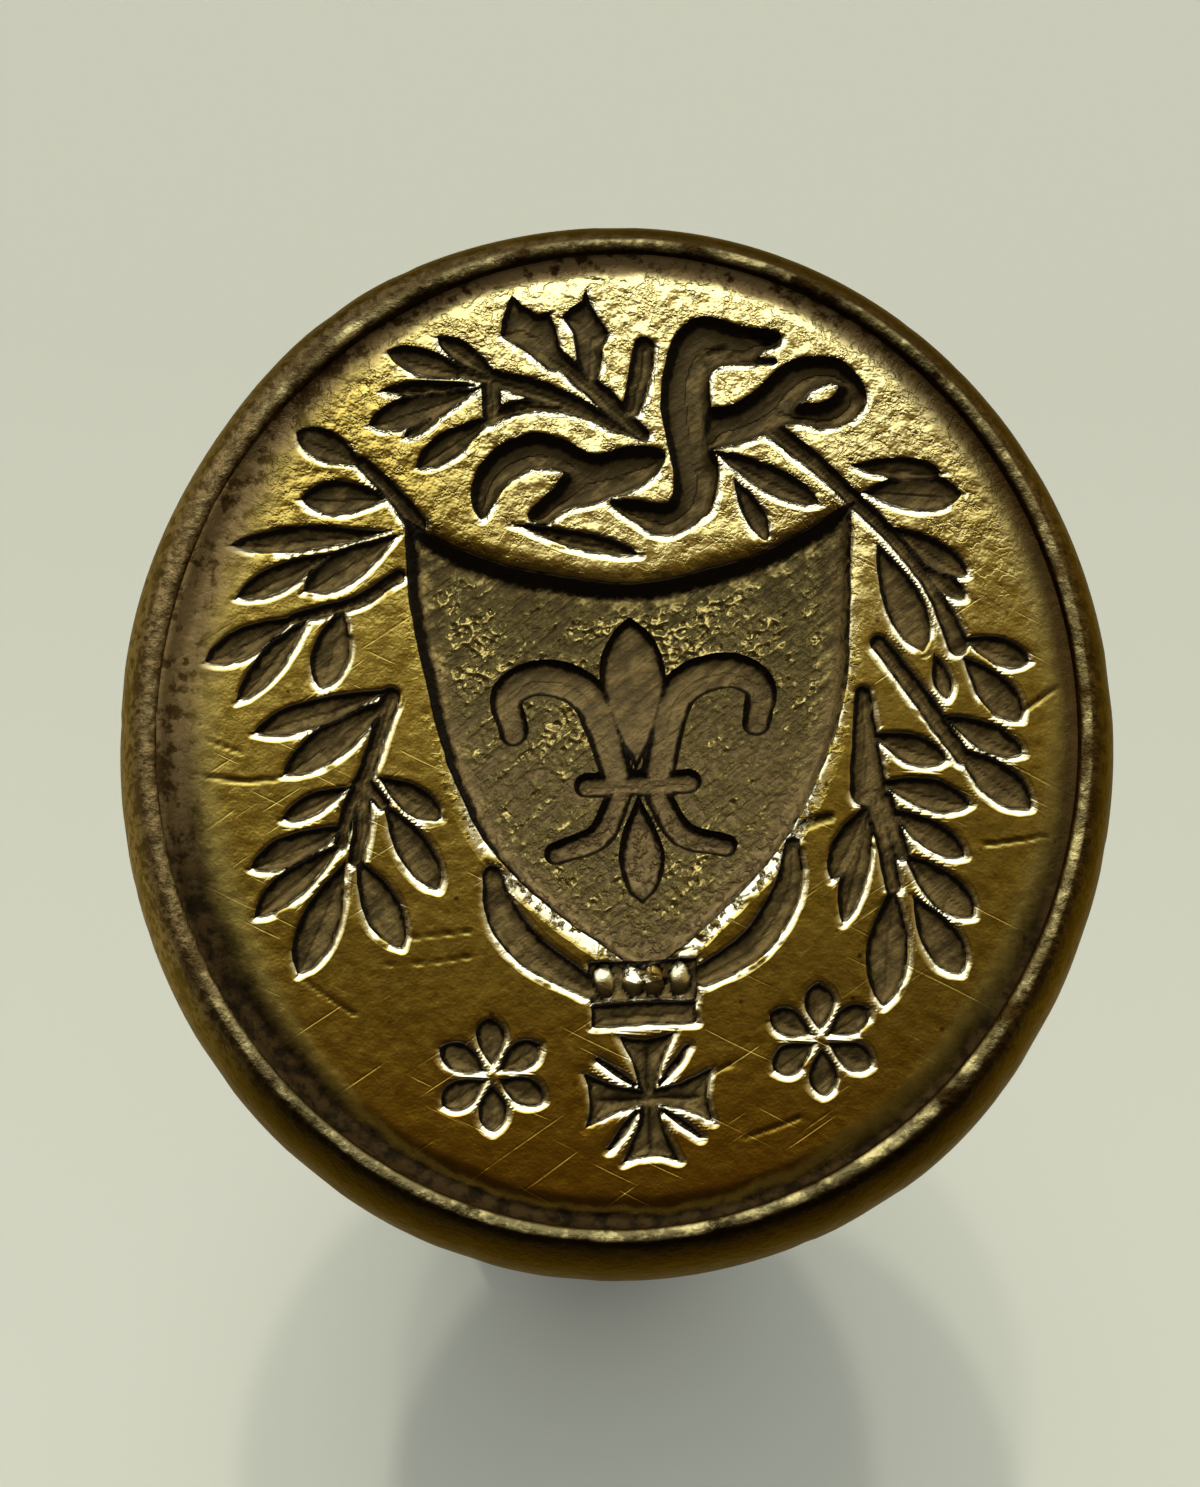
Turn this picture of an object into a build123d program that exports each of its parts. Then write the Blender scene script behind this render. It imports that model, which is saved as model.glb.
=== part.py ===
from build123d import *
import os

os.makedirs("parts", exist_ok=True)

# Desk seal: an oval engraved matrix in a rolled collet that screws on to a turned handle.
# Millimetres, +Z up. It stands on its pommel with the engraved face on top, and the
# origin is the middle of the pommel's flat end. +Y is the top of the engraved face.

# Pommel, the brass button that closes the handle
pommel_height = 7.0
pommel_diameter = 12.4
pommel_base_diameter = 9.6
pommel_top_diameter = 8.0
pommel_belt_height = 3.1
pommel_socket_depth = 5.2

# Thin brass washer between the pommel and the wood
pommel_washer_diameter = 9.6
pommel_washer_thickness = 0.8
pommel_washer_round = 0.3

# Turned wooden grip
grip_length = 29.0
grip_foot_diameter = 8.4
grip_belly_diameter = 12.0
grip_belly_height = 9.0
grip_neck_diameter = 7.4
grip_neck_height = 24.5
grip_shoulder_diameter = 8.6
tenon_diameter = 6.8
tenon_length = 4.0

# Brass ferrule on the tenon
ferrule_length = 6.2
ferrule_diameter = 8.9
ferrule_band_height = 1.0
ferrule_neck_diameter = 8.1
ferrule_collar_height = 1.3
ferrule_round = 0.35

# Pins through the ferrule into the tenon
ferrule_pin_diameter = 0.9
ferrule_pin_length = 1.6
ferrule_pin_count = 2
ferrule_pin_height = 2.5

# Steel rod through the handle
rod_diameter = 4.0
rod_end_gap = 0.4
flange_diameter = 6.2
flange_thickness = 1.0

# Screw that carries the head: right-hand, five millimetres across with a 0.8 pitch
stud_diameter = 5.0
thread_pitch = 0.8
thread_depth = 0.42
thread_crest_width = 0.14
thread_root_width = 0.66
thread_root_sink = 0.08
thread_engagement = 5.0
stud_chamfer = 0.4
socket_end_gap = 0.7

# Leather washer under the head
neck_washer_diameter = 8.2
neck_washer_thickness = 0.8

# Collet: foot, stem, bead and trumpet flare up to the oval head
collet_height = 20.2
foot_diameter = 8.6
foot_height = 1.4
foot_round = 0.45
stem_diameter = 6.9
stem_height = 4.4
bead_diameter = 1.2
bead_height = 2.9
flare_sections = 7
flare_curve = 2.3
flare_quirk = 0.4

# Oval head with its rolled rim
face_width = 24.0
face_length = 25.8
rim_thickness = 3.5
rim_inset = 0.9
rim_lip = 0.14

# Engraved plate, its cement bed and the cove around its field
plate_thickness = 1.6
cement_thickness = 0.2
face_drop = 0.04
dome_rise = 0.32
cove_width = 0.62
cove_depth = 0.5
cove_slope = 0.3
field_shift_x = 0.12
field_shift_y = -0.08

# Engraving: how deep each group is cut below the middle of the face
spray_depth = 0.62
serpent_depth = 0.68
shield_depth = 0.42
charge_depth = 0.68
ornament_depth = 0.62

# The engraver's drawing: the field it was laid out for, its turn and its shift on the plate
drawing_width = 20.64
drawing_turn = 5.6
drawing_shift = 0.4

# The engraver's drawing, measured from the drawing's own axis with +Y to the top.
# Leaves: base, tip, width.
crest_leaves = [
    ((-3.3, 9.0), (-5.6, 9.7), 0.8),
    ((-3.25, 8.7), (-5.8, 8.65), 0.5),
    ((-3.25, 8.65), (-6.1, 7.8), 0.8),
    ((-2.95, 8.05), (-4.95, 6.6), 0.75),
    ((-1.05, 8.8), (-2.6, 10.9), 1.05),
    ((-0.65, 8.35), (-0.7, 11.0), 1.0),
    ((-2.8, 5.2), (0.2, 3.9), 0.65),
    ((2.2, 6.75), (4.6, 5.4), 0.6),
    ((2.45, 6.2), (3.15, 4.6), 0.6),
]
left_leaves = [
    ((-6.1, 6.55), (-7.85, 7.8), 0.85),
    ((-5.35, 5.95), (-7.9, 6.1), 0.85),
    ((-5.7, 5.2), (-9.55, 4.8), 0.75),
    ((-7.8, 4.5), (-9.4, 3.65), 0.7),
    ((-5.7, 5.25), (-7.85, 3.6), 0.95),
    ((-8.1, 3.0), (-10.15, 2.1), 0.85),
    ((-7.85, 2.7), (-9.45, 1.2), 0.65),
    ((-6.8, 3.3), (-7.45, 1.25), 0.85),
    ((-5.75, 1.2), (-9.1, 0.3), 0.7),
    ((-5.8, 0.8), (-8.5, -0.8), 1.0),
    ((-6.85, -1.25), (-8.45, -1.8), 0.55),
    ((-7.35, -2.4), (-9.25, -2.9), 0.75),
    ((-7.55, -3.0), (-9.15, -4.1), 0.75),
    ((-7.35, -3.4), (-8.1, -5.6), 0.85),
    ((-6.85, -2.9), (-5.7, -5.1), 0.9),
    ((-6.05, -1.4), (-4.75, -3.7), 0.75),
    ((-6.35, -0.85), (-4.6, -2.05), 0.75),
]
right_leaves = [
    ((4.95, 6.45), (8.0, 5.95), 0.65),
    ((5.6, 5.65), (8.25, 5.45), 0.8),
    ((6.2, 4.6), (8.05, 2.95), 0.95),
    ((6.1, 4.15), (7.15, 1.65), 1.1),
    ((7.75, 2.0), (9.6, 1.3), 0.75),
    ((7.9, 1.4), (9.2, -0.05), 0.75),
    ((7.05, 1.6), (7.45, 0.4), 0.45),
    ((7.4, 0.0), (9.25, -0.9), 0.7),
    ((7.7, -0.95), (9.3, -2.35), 0.8),
    ((5.7, -0.35), (7.4, -0.95), 0.75),
    ((5.45, -1.55), (7.8, -2.1), 0.75),
    ((6.05, -2.05), (7.65, -3.35), 0.75),
    ((6.2, -3.5), (7.8, -4.9), 0.9),
    ((6.45, -4.6), (7.35, -6.35), 0.85),
    ((5.8, -4.6), (5.5, -6.85), 0.8),
    ((5.2, -2.05), (4.45, -3.75), 0.8),
    ((5.4, -2.1), (4.65, -4.95), 0.7),
]
# Strokes: two ends of a bar, or three points of an arc, then the width.
stems = [
    ((-6.1, 6.55), (-5.6, 6.0), (-5.2, 5.35), 0.35),
    ((-5.5, 4.05), (-6.85, 3.5), (-8.1, 3.05), 0.3),
    ((-5.7, 0.85), (-6.15, -0.1), (-6.55, -1.15), 0.4),
    ((-6.55, -1.15), (-7.05, -1.8), (-7.4, -2.7), 0.35),
    ((-6.55, -1.15), (-6.75, -2.05), (-6.85, -3.0), 0.35),
    ((-3.5, 9.1), (-1.0, 8.15), (0.45, 7.25), 0.35),
    ((-1.05, 8.85), (-0.45, 8.05), (0.45, 7.25), 0.4),
    ((-3.1, 8.75), (-3.05, 8.0), 0.35),
    ((-3.0, 8.0), (-1.7, 8.1), (-0.5, 7.75), 0.3),
    ((3.65, 7.7), (5.35, 5.85), (6.25, 4.55), 0.4),
    ((6.25, 4.55), (7.15, 3.2), (7.8, 1.85), 0.4),
    ((5.9, 1.8), (6.65, 0.75), (7.75, -1.0), 0.45),
    ((5.5, 1.35), (5.35, -0.6), (5.55, -1.6), 0.5),
    ((5.55, -1.6), (5.85, -3.25), (5.9, -4.45), 0.45),
]
serpent = [
    ((2.55, 9.55), (3.95, 9.45), 0.9),
    ((2.8, 9.5), (1.95, 9.55), (1.6, 8.9), 0.9),
    ((1.6, 8.9), (1.55, 7.5), (1.7, 6.1), 0.95),
    ((1.7, 6.1), (1.25, 5.3), (0.05, 5.4), 0.9),
    ((-3.3, 5.6), (-2.85, 6.7), (-1.85, 7.05), 0.8),
    ((-1.85, 7.05), (-0.6, 6.95), (0.65, 6.6), 0.8),
    ((0.95, 6.6), (-0.3, 6.1), (-2.05, 5.5), 0.7),
    ((2.1, 7.4), (3.2, 7.65), (4.2, 8.45), 0.8),
    ((4.2, 8.45), (5.05, 8.75), (5.7, 8.35), 0.55),
    ((5.7, 8.35), (5.5, 7.75), (4.8, 7.5), 0.55),
    ((4.8, 7.5), (3.85, 7.75), 0.55),
    ((0.6, 9.5), (0.25, 7.85), 0.55),
]
# Shield: its right corner, side and tip, and how low its upper edge hangs in the middle.
shield_corner = (5.35, 5.4)
shield_side = [(4.95, 1.3), (3.75, -2.45), (1.9, -4.55)]
shield_tip = -5.7
shield_top = 3.5
# Lily on the shield: its middle petals, the right half of its side petals, and its tie.
lily_petals = [
    ((0.0, -0.9), (0.0, 2.9), 1.5),
    ((0.0, -1.6), (0.0, -4.3), 1.0),
]
lily_side_petals = [
    ((0.5, -1.1), (1.05, 0.85), (2.2, 1.45), 0.8),
    ((2.2, 1.45), (3.05, 1.1), (2.9, 0.2), 0.65),
    ((0.45, -1.6), (0.95, -2.5), (1.85, -2.95), 0.5),
]
lily_tie = ((-1.15, -1.3), (1.15, -1.3), 0.5)
# Sash under the shield, its right half.
sash = ((3.4, -3.5), (2.85, -5.2), (1.4, -6.2), 0.75)
# Torse: a sunk row of standing beads over a plain band.
torse_width = 2.65
bead_row_height = 0.85
bead_row_middle = -6.0
bead_radius = 0.26
bead_spacing = 0.62
bead_count = 4
band_height = 0.5
band_middle = -6.85
# Cross with spreading arms.
cross_middle = -8.95
cross_reach = 1.55
cross_waist = 0.34
cross_spread = 1.5
cross_hollow = 0.18
# Rosettes beside the cross.
rosette_places = [(-3.75, -8.1), (4.0, -7.6)]
rosette_radius = 1.25
rosette_petals = 6
rosette_petal_width = 0.62
rosette_eye = 0.25

# Clearances between pieces
thread_clearance = 0.08
rod_clearance = 0.05
tenon_clearance = 0.03
flange_clearance = 0.05
pin_clearance = 0.02
plate_clearance = 0.02
washer_clearance = 0.25

# Levels of the stack, from the pommel's flat end up to the crest of the rim
rod_level = pommel_height - pommel_socket_depth + rod_end_gap
washer_level = pommel_height
grip_level = washer_level + pommel_washer_thickness
shoulder_level = grip_level + grip_length
tenon_level = shoulder_level + tenon_length
pin_level = shoulder_level + ferrule_pin_height
ferrule_level = shoulder_level + ferrule_length
flange_level = ferrule_level - flange_thickness
collet_level = ferrule_level + neck_washer_thickness
stud_level = collet_level + thread_engagement
thread_rise = thread_engagement - thread_pitch - stud_chamfer
crest_level = collet_level + collet_height
rim_level = crest_level - rim_thickness
dome_level = crest_level - face_drop
cove_level = dome_level - cove_depth
plate_level = dome_level - plate_thickness
cup_level = plate_level - cement_thickness

# Radii that several pieces share
rod_hole_radius = rod_diameter / 2 + rod_clearance
socket_radius = stud_diameter / 2 + thread_clearance
thread_core_radius = stud_diameter / 2 - thread_depth
pin_middle_radius = ferrule_neck_diameter / 2 - ferrule_pin_length / 2

# Half sizes of the ovals, X then Y, from the rim inwards
rim_half = (face_width / 2, face_length / 2)
crest_half = [half - rim_inset for half in rim_half]
flare_half = [half - flare_quirk for half in crest_half]
cup_half = [half - rim_lip for half in crest_half]
plate_half = [half - plate_clearance for half in cup_half]
field_half = [half - cove_width for half in plate_half]
dome_half = sum(plate_half) / 2
dome_radius = (dome_half**2 + dome_rise**2) / (2 * dome_rise)

# The drawing's own plane, and its scale on this plate
drawing_scale = 2 * field_half[0] / drawing_width
drawing_across = Vector(1, 0, 0).rotate(Axis.Z, drawing_turn)
drawing_middle = drawing_across * drawing_shift * drawing_scale
drawing_plane = Plane(drawing_middle, x_dir=drawing_across, z_dir=(0, 0, 1))


# Pommel
with BuildPart() as pommel:
    with BuildSketch(Plane.XZ):
        with BuildLine():
            Line((0, 0), (pommel_base_diameter / 2, 0))
            ThreePointArc(
                (pommel_base_diameter / 2, 0),
                (pommel_diameter / 2, pommel_belt_height),
                (pommel_top_diameter / 2, pommel_height),
            )
            Line((pommel_top_diameter / 2, pommel_height), (0, pommel_height))
            Line((0, pommel_height), (0, 0))
        make_face()
    revolve(axis=Axis.Z)
    with Locations((0, 0, pommel_height)):
        Hole(rod_hole_radius, depth=pommel_socket_depth)
pommel.part.label = "pommel"
export_step(pommel.part, "parts/pommel.step")


# Pommel washer
with BuildPart() as pommel_washer:
    with BuildSketch(Plane.XY.offset(washer_level)):
        Circle(pommel_washer_diameter / 2)
        Circle(rod_hole_radius, mode=Mode.SUBTRACT)
    extrude(amount=pommel_washer_thickness)
    outer_edges = pommel_washer.edges().filter_by(GeomType.CIRCLE).sort_by(SortBy.RADIUS)[-2:]
    fillet(outer_edges, pommel_washer_round)
pommel_washer.part.label = "pommel_washer"
export_step(pommel_washer.part, "parts/pommel_washer.step")


# Grip: turned from one piece of wood, with a tenon at its upper end
with BuildPart() as grip:
    with BuildSketch(Plane.XZ):
        with BuildLine():
            Line((0, grip_level), (grip_foot_diameter / 2, grip_level))
            Spline(
                (grip_foot_diameter / 2, grip_level),
                (grip_belly_diameter / 2, grip_level + grip_belly_height),
                (grip_neck_diameter / 2, grip_level + grip_neck_height),
                (grip_shoulder_diameter / 2, shoulder_level),
            )
            Polyline(
                (grip_shoulder_diameter / 2, shoulder_level),
                (tenon_diameter / 2, shoulder_level),
                (tenon_diameter / 2, tenon_level),
                (0, tenon_level),
                (0, grip_level),
            )
        make_face()
    revolve(axis=Axis.Z)
    with Locations((0, 0, tenon_level)):
        Hole(rod_hole_radius)
    with Locations(Plane.XY.offset(pin_level)):
        with PolarLocations(pin_middle_radius, ferrule_pin_count):
            Cylinder(
                ferrule_pin_diameter / 2 + pin_clearance,
                ferrule_pin_length + 2 * pin_clearance,
                rotation=(0, 90, 0),
                mode=Mode.SUBTRACT,
            )
grip.part.label = "grip"
export_step(grip.part, "parts/grip.step")


# Ferrule: a turned cup over the tenon, with a seat for the rod's flange in its top
with BuildPart() as ferrule:
    with BuildSketch(Plane.XY.offset(shoulder_level)):
        Circle(ferrule_neck_diameter / 2)
    extrude(amount=ferrule_length)
    with BuildSketch(Plane.XY.offset(shoulder_level)):
        Circle(ferrule_diameter / 2)
    extrude(amount=ferrule_band_height)
    with BuildSketch(Plane.XY.offset(ferrule_level - ferrule_collar_height)):
        Circle(ferrule_diameter / 2)
    extrude(amount=ferrule_collar_height)
    band_edges = ferrule.edges().filter_by(GeomType.CIRCLE).sort_by(SortBy.RADIUS)[-4:]
    fillet(band_edges, ferrule_round)
    with BuildSketch(Plane.XY.offset(shoulder_level)):
        Circle(tenon_diameter / 2 + tenon_clearance)
    extrude(amount=tenon_length, mode=Mode.SUBTRACT)
    with Locations((0, 0, ferrule_level)):
        CounterBoreHole(rod_hole_radius, flange_diameter / 2 + flange_clearance, flange_thickness)
    with Locations(Plane.XY.offset(pin_level)):
        with PolarLocations(pin_middle_radius, ferrule_pin_count):
            Cylinder(
                ferrule_pin_diameter / 2 + pin_clearance,
                2 * ferrule_pin_length,
                rotation=(0, 90, 0),
                mode=Mode.SUBTRACT,
            )
ferrule.part.label = "ferrule"
export_step(ferrule.part, "parts/ferrule.step")


# Ferrule pins
with BuildPart() as ferrule_pins:
    with Locations(Plane.XY.offset(pin_level)):
        with PolarLocations(pin_middle_radius, ferrule_pin_count):
            Cylinder(ferrule_pin_diameter / 2, ferrule_pin_length, rotation=(0, 90, 0))
ferrule_pins.part.label = "ferrule_pins"
export_step(ferrule_pins.part, "parts/ferrule_pins.step")


# Tang rod: shank through the wood, flange in the ferrule and a threaded stud for the head
with BuildPart() as tang_rod:
    with BuildSketch(Plane.XY.offset(rod_level)):
        Circle(rod_diameter / 2)
    extrude(amount=flange_level - rod_level)
    with BuildSketch(Plane.XY.offset(flange_level)):
        Circle(flange_diameter / 2)
    extrude(amount=flange_thickness)
    with BuildSketch(Plane.XY.offset(ferrule_level)):
        Circle(thread_core_radius)
    extrude(amount=stud_level - ferrule_level)
    chamfer(tang_rod.edges().group_by(Axis.Z)[-1], stud_chamfer)
    with BuildLine(Plane.XY.offset(collet_level)):
        thread_line = Helix(thread_pitch, thread_rise, thread_core_radius)
    with BuildSketch(Plane(thread_line @ 0, x_dir=(1, 0, 0), z_dir=thread_line % 0)):
        with BuildLine():
            Polyline(
                (-thread_root_sink, -thread_root_width / 2),
                (thread_depth, -thread_crest_width / 2),
                (thread_depth, thread_crest_width / 2),
                (-thread_root_sink, thread_root_width / 2),
                close=True,
            )
        make_face()
    sweep(path=thread_line, is_frenet=True)
tang_rod.part.label = "tang_rod"
export_step(tang_rod.part, "parts/tang_rod.step")


# Neck washer
with BuildPart() as neck_washer:
    with BuildSketch(Plane.XY.offset(ferrule_level)):
        Circle(neck_washer_diameter / 2)
        Circle(stud_diameter / 2 + washer_clearance, mode=Mode.SUBTRACT)
    extrude(amount=neck_washer_thickness)
neck_washer.part.label = "neck_washer"
export_step(neck_washer.part, "parts/neck_washer.step")


# Collet: round foot and stem, trumpet flare and oval head with its rolled rim and cup
with BuildPart() as collet:
    with BuildSketch(Plane.XY.offset(collet_level)):
        Circle(foot_diameter / 2)
    extrude(amount=foot_height)
    fillet(collet.edges().filter_by(GeomType.CIRCLE), foot_round)
    with BuildSketch(Plane.XY.offset(collet_level)):
        Circle(stem_diameter / 2)
    extrude(amount=stem_height)
    with Locations((0, 0, collet_level + bead_height)):
        Torus(stem_diameter / 2, bead_diameter / 2)
    with BuildSketch(Plane.XY.offset(rim_level)):
        Ellipse(*rim_half)
    extrude(amount=rim_thickness)
    fillet(collet.edges().filter_by(GeomType.ELLIPSE), rim_inset)
    flare_rise = rim_level - collet_level - stem_height
    for section in range(flare_sections):
        part_way = section / (flare_sections - 1)
        opening = part_way**flare_curve
        with BuildSketch(Plane.XY.offset(collet_level + stem_height + flare_rise * part_way)):
            Ellipse(*[stem_diameter / 2 + opening * (half - stem_diameter / 2) for half in flare_half])
    loft()
    with BuildSketch(Plane.XY.offset(cup_level)):
        Ellipse(*cup_half)
    extrude(amount=crest_level - cup_level, mode=Mode.SUBTRACT)
    with Locations(Plane.XY.offset(collet_level).rotated((180, 0, 0))):
        Hole(socket_radius, depth=thread_engagement + socket_end_gap)
collet.part.label = "collet"
export_step(collet.part, "parts/collet.step")


# Setting cement under the plate
with BuildPart() as setting_cement:
    with BuildSketch(Plane.XY.offset(cup_level)):
        Ellipse(*plate_half)
    extrude(amount=cement_thickness)
setting_cement.part.label = "setting_cement"
export_step(setting_cement.part, "parts/setting_cement.step")


def on_plate(point):
    """A point of the drawing at the size of this plate."""
    return Vector(*point) * drawing_scale


def leaf(base, tip, width):
    """Outline of a leaf: two equal arcs between its base and its tip."""
    with BuildSketch() as outline:
        with BuildLine():
            SagittaArc(on_plate(base), on_plate(tip), width * drawing_scale / 2)
            SagittaArc(on_plate(tip), on_plate(base), width * drawing_scale / 2)
        make_face()
    return outline.sketch


def stroke(*points_and_width):
    """Outline of a round-ended stroke of even width, straight or along one arc."""
    *points, width = points_and_width
    points = [on_plate(point) for point in points]
    line = ThreePointArc(*points) if len(points) == 3 else Line(*points)
    with BuildSketch() as outline:
        SlotArc(line, width * drawing_scale)
    return outline.sketch


def mirrored(strokes):
    """Strokes of a right half, followed by the same strokes on the left."""
    halves = [stroke(*row) for row in strokes]
    return halves + [mirror(half, about=Plane.YZ) for half in halves]


# Outlines of the engraved groups, drawn about the drawing's own axis
spray_cuts = [leaf(*row) for row in crest_leaves + left_leaves + right_leaves]
spray_cuts += [stroke(*row) for row in stems]
serpent_cuts = [stroke(*row) for row in serpent]
lily_cuts = [leaf(*row) for row in lily_petals] + [stroke(*lily_tie)] + mirrored(lily_side_petals)

with BuildSketch() as shield_cut:
    with BuildLine():
        corner = on_plate(shield_corner)
        side = Spline(corner, *[on_plate(point) for point in shield_side], on_plate((0, shield_tip)))
        mirror(side, about=Plane.YZ)
        ThreePointArc((-corner.X, corner.Y), on_plate((0, shield_top)), corner)
    make_face()

with BuildSketch() as torse_cut:
    with Locations(on_plate((0, bead_row_middle))):
        Rectangle(torse_width * drawing_scale, bead_row_height * drawing_scale)
        with GridLocations(bead_spacing * drawing_scale, 1, bead_count, 1):
            Circle(bead_radius * drawing_scale, mode=Mode.SUBTRACT)
    with Locations(on_plate((0, band_middle))):
        Rectangle(torse_width * drawing_scale, band_height * drawing_scale)

with BuildSketch() as cross_arm:
    with BuildLine():
        waist = on_plate((cross_waist / 2, 0))
        tip = on_plate((cross_spread / 2, cross_reach))
        flank = ThreePointArc(waist, on_plate((cross_waist, cross_reach / 2)), tip)
        mirror(flank, about=Plane.YZ)
        ThreePointArc(tip, on_plate((0, cross_reach - cross_hollow)), (-tip.X, tip.Y))
        Line(waist, (-waist.X, waist.Y))
    make_face()

with BuildSketch() as cross_cut:
    with Locations(on_plate((0, cross_middle))):
        Rectangle(cross_waist * drawing_scale, cross_waist * drawing_scale)
        with PolarLocations(0, 4):
            add(cross_arm.sketch)

rosette_petal = leaf((0, rosette_eye), (0, rosette_radius), rosette_petal_width)
with BuildSketch() as rosette_cut:
    for place in rosette_places:
        with Locations(on_plate(place)):
            with PolarLocations(0, rosette_petals):
                add(rosette_petal)

ornament_cuts = mirrored([sash]) + [torse_cut.sketch, cross_cut.sketch, rosette_cut.sketch]


# Matrix plate: domed field inside a cove, with the design cut into it
with BuildPart() as matrix_plate:
    with BuildSketch(Plane.XY.offset(plate_level)):
        Ellipse(*plate_half)
    extrude(amount=plate_thickness - cove_depth)
    with BuildSketch(Plane.XY.offset(cove_level)):
        with Locations((field_shift_x, field_shift_y)):
            Ellipse(*[half + cove_slope for half in field_half])
    with BuildSketch(Plane.XY.offset(dome_level)):
        with Locations((field_shift_x, field_shift_y)):
            Ellipse(*field_half)
    loft(ruled=True)
    with Locations((0, 0, dome_level - dome_radius)):
        Sphere(dome_radius, rotation=(90, 0, 0), mode=Mode.INTERSECT)
    for cuts, depth in (
        (spray_cuts, spray_depth),
        (serpent_cuts, serpent_depth),
        ([shield_cut.sketch], shield_depth),
        (lily_cuts, charge_depth),
        (ornament_cuts, ornament_depth),
    ):
        with BuildSketch(drawing_plane.offset(dome_level - depth)):
            add(cuts)
        extrude(amount=depth, mode=Mode.SUBTRACT)
matrix_plate.part.label = "matrix_plate"
export_step(matrix_plate.part, "parts/matrix_plate.step")
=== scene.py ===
import math

import bmesh
import bpy
import numpy as np
from mathutils import Matrix, Vector


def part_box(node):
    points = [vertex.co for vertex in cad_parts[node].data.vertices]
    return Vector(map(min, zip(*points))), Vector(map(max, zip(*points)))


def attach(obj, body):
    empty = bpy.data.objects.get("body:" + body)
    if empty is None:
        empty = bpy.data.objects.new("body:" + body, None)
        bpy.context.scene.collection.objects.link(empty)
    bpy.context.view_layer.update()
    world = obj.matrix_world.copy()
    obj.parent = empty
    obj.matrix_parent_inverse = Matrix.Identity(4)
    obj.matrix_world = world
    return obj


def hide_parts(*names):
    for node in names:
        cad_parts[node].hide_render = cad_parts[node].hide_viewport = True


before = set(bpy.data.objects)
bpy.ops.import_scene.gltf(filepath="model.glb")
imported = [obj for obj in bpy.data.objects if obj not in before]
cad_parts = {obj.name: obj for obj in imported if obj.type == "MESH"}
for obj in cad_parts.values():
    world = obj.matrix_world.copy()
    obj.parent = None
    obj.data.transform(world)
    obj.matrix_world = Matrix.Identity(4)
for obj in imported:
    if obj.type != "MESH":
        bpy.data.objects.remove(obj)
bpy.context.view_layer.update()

bl_info = {
    "name": "Desk seal",
    "version": (1, 0, 0),
    "blender": (4, 5, 0),
    "location": "3D View > Sidebar > Seal",
    "description": "Dresses a desk seal: its engraved oval face, collet and turned handle",
    "category": "Object",
}

MM = 0.001
plate_low, plate_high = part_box("matrix_plate")
collet_low, collet_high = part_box("collet")

# The engraver's drawing in millimetres about its own axis, +Y to the top.
# Leaves: base, tip, width.
LEAVES = (
    ((-3.45, 8.9), (-5.6, 9.65), 0.7),
    ((-2.85, 8.8), (-4.35, 10.0), 0.5),
    ((-3.4, 8.7), (-5.8, 8.65), 0.35),
    ((-3.35, 8.6), (-6.1, 7.8), 0.8),
    ((-4.1, 8.25), (-5.25, 7.45), 0.35),
    ((-3.1, 7.9), (-5.0, 6.65), 0.65),
    ((-2.75, 5.15), (0.3, 4.25), 0.45),
    ((2.15, 6.8), (4.7, 5.35), 0.65),
    ((2.65, 6.1), (3.4, 4.45), 0.5),
    ((-6.25, 6.8), (-7.85, 7.75), 0.75),
    ((-5.6, 5.95), (-7.8, 6.05), 0.85),
    ((-5.7, 5.1), (-9.5, 4.95), 0.65),
    ((-7.0, 4.65), (-9.4, 3.65), 0.65),
    ((-5.5, 5.0), (-7.8, 3.7), 0.85),
    ((-7.9, 3.1), (-10.2, 2.1), 0.75),
    ((-7.6, 3.15), (-9.45, 1.1), 0.6),
    ((-6.85, 3.3), (-7.45, 1.3), 0.9),
    ((-5.75, 1.2), (-9.1, 0.3), 0.7),
    ((-5.7, 1.0), (-8.4, -0.75), 0.85),
    ((-6.8, -1.1), (-8.45, -1.8), 0.5),
    ((-6.95, -2.05), (-9.25, -2.95), 0.75),
    ((-7.05, -2.45), (-9.2, -4.1), 0.7),
    ((-7.0, -2.9), (-8.2, -5.55), 0.9),
    ((-6.75, -2.75), (-5.75, -5.05), 0.85),
    ((-6.05, -1.5), (-4.8, -3.7), 0.8),
    ((-6.15, -0.9), (-4.7, -2.0), 0.7),
    ((5.45, 6.3), (7.7, 6.05), 0.55),
    ((5.7, 5.65), (8.15, 5.5), 0.95),
    ((6.45, 4.7), (8.15, 3.45), 0.7),
    ((7.0, 3.85), (8.05, 2.85), 0.5),
    ((6.0, 4.35), (7.0, 1.6), 0.95),
    ((7.9, 1.9), (9.5, 1.3), 0.7),
    ((7.9, 1.45), (9.2, -0.15), 0.85),
    ((7.25, 1.6), (7.45, 0.4), 0.4),
    ((7.35, 0.05), (9.2, -1.0), 0.7),
    ((7.55, -0.7), (9.3, -2.3), 0.9),
    ((5.6, -0.35), (7.35, -1.1), 0.75),
    ((5.65, -1.5), (7.85, -2.15), 0.75),
    ((5.9, -2.15), (7.65, -3.4), 0.7),
    ((6.15, -3.25), (7.8, -4.85), 0.85),
    ((6.35, -4.25), (7.4, -6.2), 0.9),
    ((5.9, -3.95), (5.5, -6.9), 0.95),
    ((5.45, -2.0), (4.45, -3.85), 0.75),
    ((5.5, -2.05), (4.65, -4.9), 0.6),
)
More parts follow.
